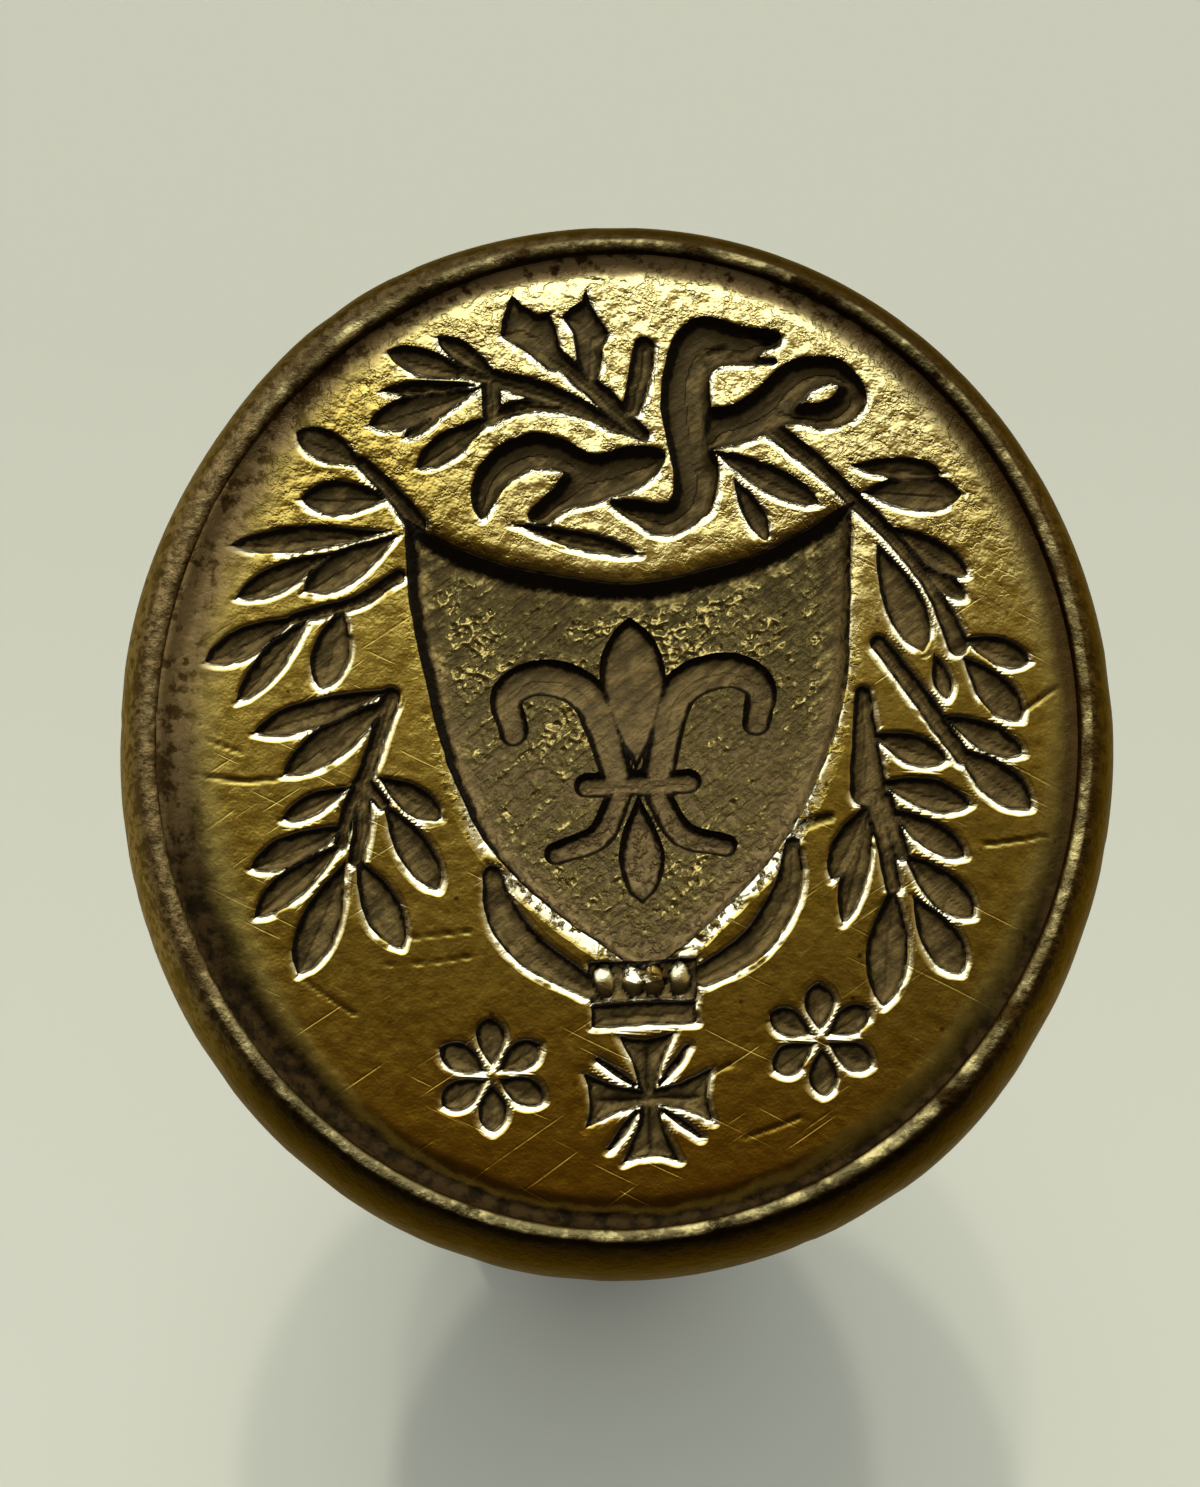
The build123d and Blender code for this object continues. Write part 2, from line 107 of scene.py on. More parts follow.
# The two broad leaves at the top, as outlines with pointed lobes.
BROAD_LEAVES = (
    ((-2.5, 10.95), (-2.25, 10.65), (-1.9, 10.4), (-1.6, 10.45), (-1.5, 10.1), (-1.4, 9.6),
     (-1.0, 8.9), (-1.7, 9.0), (-2.15, 9.45), (-2.8, 9.95), (-2.75, 10.3)),
    ((-0.7, 11.05), (-0.8, 10.7), (-1.0, 10.6), (-1.3, 10.35), (-1.05, 9.9), (-1.0, 9.35), (-0.85, 8.75),
     (-0.55, 8.65), (-0.4, 9.2), (-0.35, 9.55), (-0.2, 9.9), (-0.45, 10.3), (-0.6, 10.65)),
)
# Stalks: points along the stroke, each with the width there.
STALKS = (
    ((-6.3, 6.85, 0.3), (-5.6, 6.1, 0.4), (-5.0, 5.25, 0.45)),
    ((-5.5, 4.0, 0.3), (-6.55, 3.4, 0.3), (-8.0, 3.05, 0.3)),
    ((-5.8, 1.05, 0.45), (-6.2, -0.15, 0.35), (-6.55, -1.05, 0.4)),
    ((-6.55, -1.05, 0.4), (-6.85, -1.65, 0.35), (-7.1, -2.45, 0.3)),
    ((-6.55, -1.05, 0.45), (-6.55, -1.9, 0.4), (-6.75, -2.85, 0.35)),
    ((-6.5, -0.95, 0.3), (-6.05, -1.55, 0.3)),
    ((3.55, 7.4, 0.45), (5.15, 5.85, 0.4), (6.75, 4.0, 0.36), (7.35, 2.95, 0.36), (7.8, 1.75, 0.5)),
    ((5.9, 1.85, 0.4), (6.65, 0.75, 0.45), (7.75, -1.0, 0.4)),
    ((5.45, 0.65, 0.35), (5.45, -0.45, 0.6), (5.45, -1.7, 0.85)),
    ((5.6, -1.7, 0.6), (5.75, -3.0, 0.4), (5.9, -4.05, 0.35)),
    ((5.8, -1.95, 0.45), (6.15, -3.3, 0.35)),
    ((-1.4, 9.25, 0.4), (-0.45, 8.3, 0.5), (0.5, 7.25, 0.35)),
    ((-3.8, 9.1, 0.35), (-1.8, 8.4, 0.5), (0.3, 7.3, 0.25)),
    ((-3.1, 7.9, 0.3), (-2.15, 8.15, 0.35), (-1.1, 7.95, 0.3), (0.0, 7.4, 0.2)),
    ((-3.1, 8.75, 0.45), (-3.1, 7.9, 0.45)),
    ((0.65, 9.5, 0.5), (0.5, 8.75, 0.55), (0.3, 7.95, 0.45)),
)
# Serpent: its head and neck, its coil, its tail with the loop's eye, and the marks on its head.
SERPENT_NECK = (
    (1.1, 6.95), (1.0, 7.7), (1.05, 8.65), (1.3, 9.5), (1.65, 10.0), (2.1, 10.2), (2.6, 10.1), (3.15, 9.9),
    (3.8, 9.8), (4.0, 9.65), (3.9, 9.4), (3.55, 9.25), (3.45, 9.1), (3.85, 9.05), (3.8, 8.9), (2.95, 8.95),
    (2.35, 8.85), (2.2, 8.55), (2.2, 7.75), (2.15, 6.95), (2.3, 6.4), (2.15, 5.45), (1.8, 5.05), (1.0, 4.7),
    (0.35, 4.95), (-0.4, 5.6), (0.35, 5.6), (1.05, 5.55), (1.2, 6.05),
)
SERPENT_COIL = (
    (-3.45, 5.3), (-3.7, 5.9), (-3.5, 6.55), (-2.9, 7.15), (-2.05, 7.4), (-1.3, 7.15), (-0.7, 6.8),
    (0.15, 6.95), (1.0, 6.8), (0.85, 6.3), (0.15, 5.85), (-0.7, 5.6), (-1.4, 5.45), (-1.95, 5.1),
    (-2.35, 5.35), (-1.75, 5.95), (-1.45, 6.4), (-2.1, 6.5), (-2.7, 6.25), (-3.05, 5.8),
)
SERPENT_TAIL = (
    (2.05, 7.8), (2.65, 7.9), (3.2, 8.2), (4.05, 8.9), (4.7, 9.1), (5.35, 9.0), (5.9, 8.4), (5.95, 7.85),
    (5.55, 7.4), (4.85, 7.25), (4.15, 7.4), (3.55, 7.2), (2.9, 6.95), (2.05, 6.9),
)
SERPENT_LOOP = ((4.35, 7.9), (5.35, 8.3), 0.4)
SERPENT_MARKS = (
    ((2.95, 9.9, 0.1), (3.45, 9.6, 0.2), (3.9, 9.55, 0.14)),
    ((2.25, 9.4, 0.2), (2.6, 9.5, 0.22)),
    ((2.75, 9.3, 0.06), (3.1, 9.1, 0.12), (3.5, 9.1, 0.08)),
)
SHIELD = (
    (-5.32, 5.5), (-5.32, 5.35), (-5.25, 3.29), (-5.01, 1.81), (-4.34, -1.14), (-3.12, -3.36),
    (-0.63, -5.5), (0.1, -5.72), (0.75, -5.4), (1.6, -4.7), (3.54, -2.69), (4.82, -0.07),
    (5.2, 1.87), (5.42, 4.83), (5.47, 5.25), (5.45, 5.4), (3.93, 4.52), (2.21, 3.92),
    (0.04, 3.57), (-2.58, 4.05), (-4.23, 4.73),
)
# Lily: middle petals as leaves, then the right half of its side petals, and its tie.
LILY_LEAVES = (((0.0, -1.0), (0.0, 2.8), 1.6), ((0.0, -1.6), (0.0, -4.2), 1.1))
LILY_SIDES = (
    ((0.5, -1.0, 0.75), (1.05, 0.85, 0.9), (2.15, 1.4, 0.9), (3.0, 1.0, 0.8), (2.9, 0.1, 0.7)),
    ((0.45, -1.6, 0.6), (1.0, -2.55, 0.65), (2.0, -2.9, 0.55)),
)
LILY_TIE = ((-1.2, -1.3, 0.6), (1.2, -1.3, 0.6))
# Sashes at both sides under the shield.
SASHES = (
    ((-3.55, -3.4, 0.45), (-3.35, -4.35, 0.75), (-2.6, -5.35, 0.75), (-1.4, -6.15, 0.5)),
    ((3.6, -2.95, 0.35), (3.4, -4.0, 0.65), (2.6, -5.25, 0.7), (1.3, -6.0, 0.5)),
)
# Beaded bar: its half size and middle, then the plain band's, and the beads' middles and half size.
BEAD_BAR = ((1.25, 0.47), (-0.1, -6.05))
BEAD_BAND = ((1.23, 0.27), (-0.12, -6.83))
BEAD_PLACES = (-1.0, -0.34, 0.14, 0.76)
BEAD_HALF = (0.27, 0.4)
# How far a bead rises in the bar, how far its own edge reaches as a share of its size, and that edge's fall.
BEAD_RISE = 0.9
BEAD_SKIRT = 1.1
BEAD_FALL = 0.05
# One arm of the cross, from its waist round its hollow end, and one of the rays between its arms.
CROSS_ARM = (
    (0.17, 0.17), (0.32, 0.78), (0.66, 1.5), (0.35, 1.4), (0.0, 1.36),
    (-0.35, 1.4), (-0.66, 1.5), (-0.32, 0.78),
)
CROSS_RAY = ((0.3, 0.3, 0.08), (0.62, 0.72, 0.16), (0.95, 1.15, 0.1))
CROSS_VEIN = ((0.0, 0.2, 0.12), (0.0, 0.75, 0.2), (0.0, 1.2, 0.14))
CROSS_MIDDLE = (-0.1, -8.8)
ROSETTE_PLACES = ((-3.75, -8.1), (4.0, -7.6))
ROSETTE_PETALS = 6
ROSETTE_PETAL = ((0.0, 0.2), (0.0, 1.35), 0.66)
# Old scratches and one deep mark, as thin strokes.
SCRATCHES = (
    ((-10.6, -0.6, 0.1), (-9.45, -0.85, 0.14), (-8.35, -0.85, 0.08)),
    ((-8.15, -5.65, 0.08), (-6.9, -6.55, 0.12)),
    ((-5.9, -4.85, 0.07), (-4.1, -4.7, 0.1)),
    ((-6.25, -5.45, 0.07), (-4.15, -5.35, 0.09)),
    ((9.1, -0.05, 0.12), (10.15, 0.6, 0.14)),
    ((8.15, -3.15, 0.14), (9.7, -3.0, 0.1)),
    ((2.1, -9.85, 0.1), (3.4, -9.45, 0.12)),
    ((1.2, -8.4, 0.1), (1.9, -8.1, 0.12)),
    ((-10.2, 0.2, 0.09), (-9.4, -0.2, 0.09)),
    ((3.85, -2.5, 0.3), (4.5, -2.35, 0.25)),
)
DRAWING_TURN = math.radians(5.6)
DRAWING_SHIFT = 0.4
# Where a leaf is widest, as a share of its length, how pointed its ends are, and the steps along a side.
LEAF_PEAK = 0.6
LEAF_POINT = 0.8
LEAF_STEPS = 13
# The rolled rim's crest inside its widest line, the lip inside the crest, and the plate's lap under the lip.
RIM_INSET = 0.76
LIP_INSET = RIM_INSET + 0.07
PLATE_LAP = 0.05
# The rim's whole depth, its widest line below the crest, and the fall of its lower half.
RIM_DEPTH = 3.5
RIM_MIDDLE = 2.2
RIM_FALL = 1.2
# The sloping lip and the cup's wall under it: inset from the lip's start and depth below the crest.
LIP = ((0.0, 0.0), (0.07, 0.015), (0.14, 0.05), (0.2, 0.105), (0.21, 0.5), (0.21, 1.84))
# Uneven swells of the rolled rim: angle about +Z and height, and the angle that each spreads over.
RIM_BULGES = ((2.2, 0.19), (-0.85, 0.12), (2.85, 0.08))
BULGE_SPREAD = 0.32
# Wear of the rim: how far below the crest it starts, and over what height it becomes full.
WEAR_START, WEAR_SPAN = 3.4, 1.2
# Dents: length, seed and least height of their waves, and share. Their depth is a share of the radius.
RIM_DENTS = ((3.2, 4, 0.25, 1.0), (1.1, 9, 0.35, 0.6))
DENT_DEPTH = 0.006
# Nicks in the crest: waves about +Z, their least height, their depth and how far below the crest they reach.
NICK_PACE, NICK_WAVE, NICK_LEAST = 11.5, (1.3, 6), 0.3
NICK_DEPTH, NICK_REACH = 0.07, 0.35
# How far below the crest the collet's finish reads its distance from the lip.
LIP_REACH = 0.7
# Collet's socket, foot, stem with its bead, and flare: radii, and heights above the foot's underside.
SOCKET_RADIUS, SOCKET_DEPTH = 2.58, 5.7
SOCKET_MOUTH, SOCKET_BEVEL = 2.78, 0.3
FOOT_RADIUS, FOOT_SWELL, FOOT_HALF = 3.85, 0.45, 0.7
STEM_RADIUS = 3.45
STEM_LOWER, STEM_UPPER = (1.5, 2.25), (3.6, 4.3)
STEM_BEAD, STEM_BEAD_LEVEL = 0.6, 2.9
FLARE_LEVEL = 4.4
FLARE_CURVE = 2.3
FLARE_INSET = 1.3
COLLET_SEGMENTS = 288
# Edges sharper than these are drawn sharp.
PLATE_SHARP = math.radians(75)
COLLET_SHARP = math.radians(50)
# The way that the graver leaned, as a small step on the drawing. It also picks the upper and left edges that
# get painted shade.
GRAVER_STEP = np.array((-0.015, 0.04))
# The graver's slow and quick unsteadiness.
WOBBLE = 0.03
TREMBLE = 0.016
# The field's rounded fall to the shield: depth, width, and the heights on the drawing where it sets in.
SHOULDER_DEPTH = 0.09
SHOULDER_WIDTH = 0.4
SHOULDER_START, SHOULDER_SPAN = 2.8, 1.2
# The shield's floor: share of its depth at the tip, what it gains to the top, and the heights between them.
SHIELD_TIP_SHARE, SHIELD_GAIN = 0.42, 0.58
SHIELD_TIP, SHIELD_SPAN = 5.5, 9.5
# The shield's wall: its width, and what an upper edge adds.
SHIELD_WALL, SHIELD_WALL_UPPER = 0.16, 0.26
# Thin marks: width of their walls, depth of veins and of scratches.
MARK_WALL = 0.06
VEIN_DEPTH = 0.09
SCRATCH_DEPTH = 0.035
# Unevenness of the field and of the cove: height, length and seed of the waves.
FIELD_WAVES = ((0.006, 5.5, 1), (0.0035, 1.6, 5))
COVE_WAVE = (0.05, 2.4, 2)
# The cove and the border outside it: where they start, over what width, and the border's level.
COVE_START, COVE_SPAN = -0.35, 0.6
BORDER_START, BORDER_SPAN, BORDER_LEVEL = 0.1, 0.5, -0.06
# The field's middle, and the cove's swell: height, angle about +Z and spread.
FIELD_MIDDLE = (0.2, -0.03)
COVE_SWELL = (0.3, 2.2, 0.4)
# The face's middle below the rim's crest, and the ranges of the distances that its finish reads.
FACE_DROP = 0.045
EDGE_RANGE = 0.8
COVE_RANGE = 1.5
# Distance where there is no shape, and how far around a shape its distance is worked out.
FAR = 9.0
REACH = 1.0
# The floor's half size in metres, the film's width in millimetres, and where the camera looks on the face.
FLOOR_HALF = 12.0
FILM = 36.0
CAMERA_AIM = (-0.42, -0.41)
LAMP_COLOUR = (1.0, 0.985, 0.86)
FILL_COLOUR = (0.70, 0.83, 1.0)
FILL_WIDTH = math.radians(175)
WINDOW_COLOUR = (0.96, 1.0, 0.93)
# The window's pane in the middle against its edge, and its skew to the right and to the left in degrees.
PANE_GAIN = 1.8
SKEW_RIGHT, SKEW_LEFT = 30.0, 14.0
# The room's colours from straight below to straight above: share of the lean, and colour.
ROOM = (
    (0.0, (0.010, 0.007, 0.003)),
    (0.40, (0.025, 0.016, 0.006)),
    (0.50, (0.085, 0.055, 0.012)),
    (0.555, (0.20, 0.145, 0.045)),
    (0.59, (0.34, 0.27, 0.12)),
    (1.0, (0.16, 0.125, 0.06)),
)
# Lamps: name, lean to the right and away and width in degrees, and share of the strength.
LAMPS = (
    ("lamp_left", 0.5, 14.2, 1.1, 0.92),
    ("lamp_right", -4.7, 15.7, 1.1, 1.0),
    ("lamp_near", -4.8, 11.6, 1.1, 0.6),
    ("lamp_broad", -2.4, 13.4, 9.0, 0.3),
)


def number_property(name, description, default, **kind):
    return bpy.props.FloatProperty(name=name, description=description, default=default, **kind)


def length_property(name, description, millimetres):
    return number_property(name, description, millimetres * MM, unit="LENGTH", precision=6)


def colour_property(name, description, default):
    return bpy.props.FloatVectorProperty(name=name, description=description, default=default, subtype="COLOR")


class SealFaceSizes(bpy.types.PropertyGroup):
    """Sizes of the engraved face."""

    cell: length_property("Cell", "Spacing of the face's mesh", 0.0665)
    dome_rise: length_property("Dome", "How far the middle of the face stands above its edge", 0.32)
    cove_width: length_property("Cove width", "Width of the cove around the field", 0.52)
    cove_depth: length_property("Cove depth", "Depth of the cove below the field's edge", 0.1)
    brim: length_property("Brim", "Width of the rubbed edge along a cut", 0.18)
    wall: length_property("Wall", "Width of a cut's hollow wall", 0.36)
    cut_depth: length_property("Cut depth", "Depth of leaves, serpent and ornaments", 0.22)
    shield_depth: length_property("Shield depth", "Depth of the shield under its upper edge", 0.42)


class SealColours(bpy.types.PropertyGroup):
    """Colours of the finishes."""

    # Gold and brown also paint the field golden at the top and browner below, partly as painted light and
    # shade.
    gold: colour_property("Brass", "Rubbed brass of the field", (0.95, 0.80, 0.37))
    # On the cuts' lower and right edges the rubbed colour is also a painted highlight.
    rub_and_highlight: colour_property("Rubbed edge", "Bright edges of the cuts", (0.95, 0.86, 0.60))
    brown: colour_property("Brown brass", "Toned brass of the field", (0.56, 0.415, 0.10))
    floor: colour_property("Cut floor", "Grey brown floor of the cuts", (0.19, 0.128, 0.043))
    # Dirt is also the painted shade along upper and left edges, under the shield's top edge and in the rim's
    # seam at the top.
    dirt: colour_property("Dirt", "Old wax and dirt in the corners", (0.007, 0.004, 0.0015))
    patina: colour_property("Patina", "Dark patina of the rim", (0.085, 0.048, 0.013))
    crust: colour_property("Crust", "Grey brown crust in cove, shield and rim", (0.31, 0.212, 0.092))
    wood: colour_property("Wood", "Dark polished hardwood", (0.13, 0.05, 0.018))
    leather: colour_property("Leather", "Pressed brown leather", (0.12, 0.055, 0.025))
    steel: colour_property("Steel", "Turned steel of the rod", (0.52, 0.51, 0.49))
    paper: colour_property("Floor", "Pale floor under the seal", (0.567, 0.566, 0.484))


class SealStageSettings(bpy.types.PropertyGroup):
    """Camera and light."""

    distance: number_property("Distance", "From the camera to the face", 0.1, unit="LENGTH")
    tilt: number_property("Tilt", "Camera's lean from the vertical", math.radians(12.0), subtype="ANGLE")
    roll: number_property("Roll", "Camera's turn about its own axis", math.radians(3.1), subtype="ANGLE")
    lens: number_property("Lens", "Focal length on the film", 102.05)
    lamp: number_property("Lamps", "Strength of the lamps, before each one's share", 0.5)
    fill: number_property("Fill", "Strength of the cool light from all round", 0.88)
    box: number_property("Window", "Strength of the window behind the seal", 1.3)


class Shade:
    """A shader value that takes part in Python expressions."""

    def __init__(self, finish, socket):
        self.finish = finish
        self.socket = socket

    def combine(self, operation, *values):
        return self.finish.node("ShaderNodeMath", {"operation": operation}, dict(enumerate(values)))

    def __add__(self, other):
        return self.combine("ADD", self, other)

    def __radd__(self, other):
        return self.combine("ADD", other, self)

    def __sub__(self, other):
        return self.combine("SUBTRACT", self, other)

    def __rsub__(self, other):
        return self.combine("SUBTRACT", other, self)

    def __mul__(self, other):
        return self.combine("MULTIPLY", self, other)

    def __rmul__(self, other):
        return self.combine("MULTIPLY", other, self)

    def __abs__(self):
        return self.combine("ABSOLUTE", self)

    def most(self, other):
        return self.combine("MAXIMUM", self, other)

    def least(self, other):
        return self.combine("MINIMUM", self, other)

    def between(self, low, high):
        """0 below low, 1 above high and a smooth step between them."""
        return self.finish.node(
            "ShaderNodeMapRange", {"interpolation_type": "SMOOTHSTEP"},
            {"Value": self, "From Min": low, "From Max": high})


class Finish:
    """The nodes of one material or of the world."""

    def __init__(self, tree):
        self.tree = tree

    def node(self, kind, settings, sockets, output=0):
        made = self.tree.nodes.new(kind)
        for name, value in settings.items():
            setattr(made, name, value)
        for key, value in sockets.items():
            self.put(made.inputs[key], value)
        return Shade(self, made.outputs[output])

    def ramp(self, share, stops):
        """Colours between stops, each a place and a colour."""
        made = self.node("ShaderNodeValToRGB", {}, {"Fac": share})
        elements = made.socket.node.color_ramp.elements
        while len(elements) < len(stops):
            elements.new(1.0)
        for element, (place, colour) in zip(elements, stops):
            element.position = place
            element.color = (*colour, 1.0)
        return made

    def put(self, socket, value):
        if isinstance(value, Shade):
            self.tree.links.new(value.socket, socket)
        elif socket.type == "RGBA":
            socket.default_value = (*value[:3], 1.0)
        else:
            socket.default_value = value

    def coordinates(self, turn=(0.0, 0.0, 0.0), stretch=(1.0, 1.0, 1.0)):
        """Object coordinates in millimetres, turned and then stretched."""
        place = self.node("ShaderNodeTexCoord", {}, {}, "Object")
        turned = self.node(
            "ShaderNodeMapping", {"vector_type": "TEXTURE"}, {"Vector": place, "Rotation": turn})
        scale = [side / MM for side in stretch]
        return self.node("ShaderNodeMapping", {}, {"Vector": turned, "Scale": scale})

    def part(self, vector, axis):
        return self.node("ShaderNodeSeparateXYZ", {}, {"Vector": vector}, axis)

    def attribute(self, name):
        return self.node("ShaderNodeAttribute", {"attribute_name": name}, {}, "Fac")

    def noise(self, vector, scale, detail=2.0, roughness=0.5):
        return self.node(
            "ShaderNodeTexNoise", {},
            {"Vector": vector, "Scale": scale, "Detail": detail, "Roughness": roughness}, "Fac")

    def cells(self, vector, scale, feature="F1"):
        return self.node(
            "ShaderNodeTexVoronoi", {"feature": feature}, {"Vector": vector, "Scale": scale}, "Distance")

    def mix(self, share, first, second):
        return self.node("ShaderNodeMix", {"data_type": "RGBA"}, {0: share, 6: first, 7: second}, 2)

    def bump(self, height, depth):
        """Normal of a surface with this relief, its depth in metres."""
        return self.node("ShaderNodeBump", {}, {"Height": height, "Distance": depth, "Strength": 1.0})


def times(colour, share):
    """A colour made darker or lighter."""
    return [share * part for part in colour]


def new_finish(name, **constants):
    """A material with a Principled shader, its fixed values set, and its Finish."""
    material = bpy.data.materials.new(name)
    material.use_nodes = True
    shader = material.node_tree.nodes["Principled BSDF"]
    for key, value in constants.items():
        shader.inputs[key.replace("_", " ").title()].default_value = value
    finish = Finish(material.node_tree)
    return material, finish, shader


def feed(finish, shader, **sockets):
    for key, value in sockets.items():
        finish.put(shader.inputs[key.replace("_", " ").title()], value)


def new_piece(name, bm, body, material, slot, *nodes):
    """Makes a bmesh an object that rides on a body and stands for its CAD nodes."""
    mesh = bpy.data.meshes.new(name)
    bm.to_mesh(mesh)
    bm.free()
    mesh.shade_smooth()
    mesh.materials.append(material)
    piece = bpy.data.objects.new(name, mesh)
    bpy.context.scene.collection.objects.link(piece)
    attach(piece, body)
    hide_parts(*nodes)
    return piece


def get_points(mesh):
    flat = np.empty(len(mesh.vertices) * 3)
    mesh.vertices.foreach_get("co", flat)
    return flat.reshape(-1, 3)


def set_points(mesh, points):
    mesh.vertices.foreach_set("co", points.ravel())
    mesh.update()


def set_attribute(mesh, name, values):
    layer = mesh.attributes.new(name, "FLOAT", "POINT")
    layer.data.foreach_set("value", np.asarray(values, dtype=np.float32))


def ripple(x, y, length, seed):
    """Smooth uneven waves of about this length, between -1 and 1."""
    total = 0.0
    for wave in range(5):
        heading = seed * 1.7 + wave * 1.257
        pace = 2 * math.pi / (length * (0.75 + 0.14 * wave))
        run = x * math.cos(heading) + y * math.sin(heading)
        total = total + np.sin(pace * run + seed * 3.1 + wave * 2.3)
    return total / 5


def smooth(points, closed, steps=5):
    """A smooth line through points of any width of row, open or closed."""
    rows = np.array(points, dtype=float)
    if closed:
        rows = np.concatenate([rows[-1:], rows, rows[:2]])
    else:
        rows = np.concatenate([2 * rows[:1] - rows[1:2], rows, 2 * rows[-1:] - rows[-2:-1]])
    line = []
    for before, start, end, after in zip(rows, rows[1:], rows[2:], rows[3:]):
        for t in np.arange(steps) / steps:
            bend = 2 * before - 5 * start + 4 * end - after
            twist = 3 * start - before - 3 * end + after
            line.append(0.5 * (2 * start + (end - before) * t + bend * t**2 + twist * t**3))
    if not closed:
        line.append(rows[-2])
    return np.array(line)


def to_stroke(p, line):
    """Signed distance to a round-ended stroke whose rows are x, y and width."""
    best = np.full(len(p), FAR)
    for start, end in zip(line, line[1:]):
        run = end[:2] - start[:2]
        t = np.clip((p - start[:2]) @ run / max(run @ run, 1e-9), 0, 1)
        gap = np.linalg.norm(p - start[:2] - t[:, None] * run, axis=1)
        best = np.minimum(best, gap - (start[2] + t * (end[2] - start[2])) / 2)
    return best


def to_outline(p, loop):
    """Signed distance to a closed outline."""
    best = np.full(len(p), FAR * FAR)
    inside = np.zeros(len(p), dtype=bool)
    for start, end in zip(loop, np.roll(loop, -1, axis=0)):
        run = end - start
        t = np.clip((p - start) @ run / max(run @ run, 1e-9), 0, 1)
        best = np.minimum(best, ((p - start - t[:, None] * run)**2).sum(1))
        straddles = (start[1] > p[:, 1]) != (end[1] > p[:, 1])
        rise = run[1] if run[1] else 1e-9
        inside ^= straddles & (p[:, 0] < start[0] + (p[:, 1] - start[1]) * run[0] / rise)
    return np.where(inside, -1, 1) * np.sqrt(best)


def to_bar(p, half, middle):
    """Signed distance to an upright rectangle."""
    q = np.abs(p - np.array(middle)) - np.array(half)
    return np.hypot(*np.maximum(q, 0).T) + np.minimum(q.max(1), 0)


def nearest(p, shapes):
    """Least signed distance to any of the shapes, each a function and the points that it spans."""
    best = np.full(len(p), FAR)
    for distance, spans in shapes:
        spans = np.array(spans)[:, :2]
        close = np.all((p > spans.min(0) - REACH) & (p < spans.max(0) + REACH), axis=1)
        best[close] = np.minimum(best[close], distance(p[close]))
    return best


def loop_shape(loop):
    return lambda p: to_outline(p, loop), loop


def leaf(base, tip, width):
    """A leaf that is widest towards its tip and tapers to its stalk."""
    base, along = np.array(base), np.array(tip) - np.array(base)
    across = np.array((-along[1], along[0])) / np.linalg.norm(along)
    t = np.linspace(0, 1, LEAF_STEPS)[:, None]
    slim = LEAF_PEAK / (1 - LEAF_PEAK)
    half = width / 2 * ((t / LEAF_PEAK)**slim * (1 - t) / (1 - LEAF_PEAK))**LEAF_POINT
    middle = base + t * along
    return loop_shape(np.concatenate([middle + half * across, (middle - half * across)[-2:0:-1]]))


def stroke(points):
    line = smooth(points, closed=False)
    return lambda p: to_stroke(p, line), line


def outline(points):
    return loop_shape(smooth(points, closed=True))


def pierced(points, hole):
    """An outline with a leaf-shaped island left standing in it."""
    outer, loop = outline(points)
    island, _ = leaf(*hole)
    return lambda p: np.maximum(outer(p), -island(p)), loop


def mirrored(points):
    return [(-x, y, width) for x, y, width in points]


def turned(points, turn, middle):
    """Drawing points turned about the origin, then moved to a middle."""
    c, s = math.cos(turn), math.sin(turn)
    return [(c * x - s * y + middle[0], s * x + c * y + middle[1]) for x, y in points]


def round_cross(points):
    """A stroke repeated in each quarter of the cross."""
    for quarter in range(4):
        places = turned([row[:2] for row in points], quarter * math.pi / 2, CROSS_MIDDLE)
        yield stroke([(*place, row[2]) for place, row in zip(places, points)])


def cross_shapes():
    loop = []
    for quarter in range(4):
        loop += turned(CROSS_ARM, quarter * math.pi / 2, CROSS_MIDDLE)
    return [loop_shape(np.array(loop)), *round_cross(CROSS_RAY)]


def rosette_leaves():
    base, tip, width = ROSETTE_PETAL
    for middle in ROSETTE_PLACES:
        for petal in range(ROSETTE_PETALS):
            yield leaf(*turned((base, tip), petal * 2 * math.pi / ROSETTE_PETALS, middle), width)


def spray_shapes():
    broad = [loop_shape(np.array(row)) for row in BROAD_LEAVES]
    return [leaf(*row) for row in LEAVES] + broad + [stroke(row) for row in STALKS]


def serpent_shapes():
    return [outline(SERPENT_NECK), outline(SERPENT_COIL), pierced(SERPENT_TAIL, SERPENT_LOOP)]


def lily_shapes():
    sides = [stroke(row) for row in LILY_SIDES] + [stroke(mirrored(row)) for row in LILY_SIDES]
    return [leaf(*row) for row in LILY_LEAVES] + sides + [stroke(LILY_TIE)]


def ornament_shapes():
    shapes = [*(stroke(row) for row in SASHES), *cross_shapes(), *rosette_leaves()]
    for half, middle in (BEAD_BAR, BEAD_BAND):
        ends = np.array(middle) + np.array([half, [-side for side in half]])
        shapes.append((lambda p, half=half, middle=middle: to_bar(p, half, middle), ends))
    return shapes


def step(t):
    t = np.clip(t, 0, 1)
    return t * t * (3 - 2 * t)


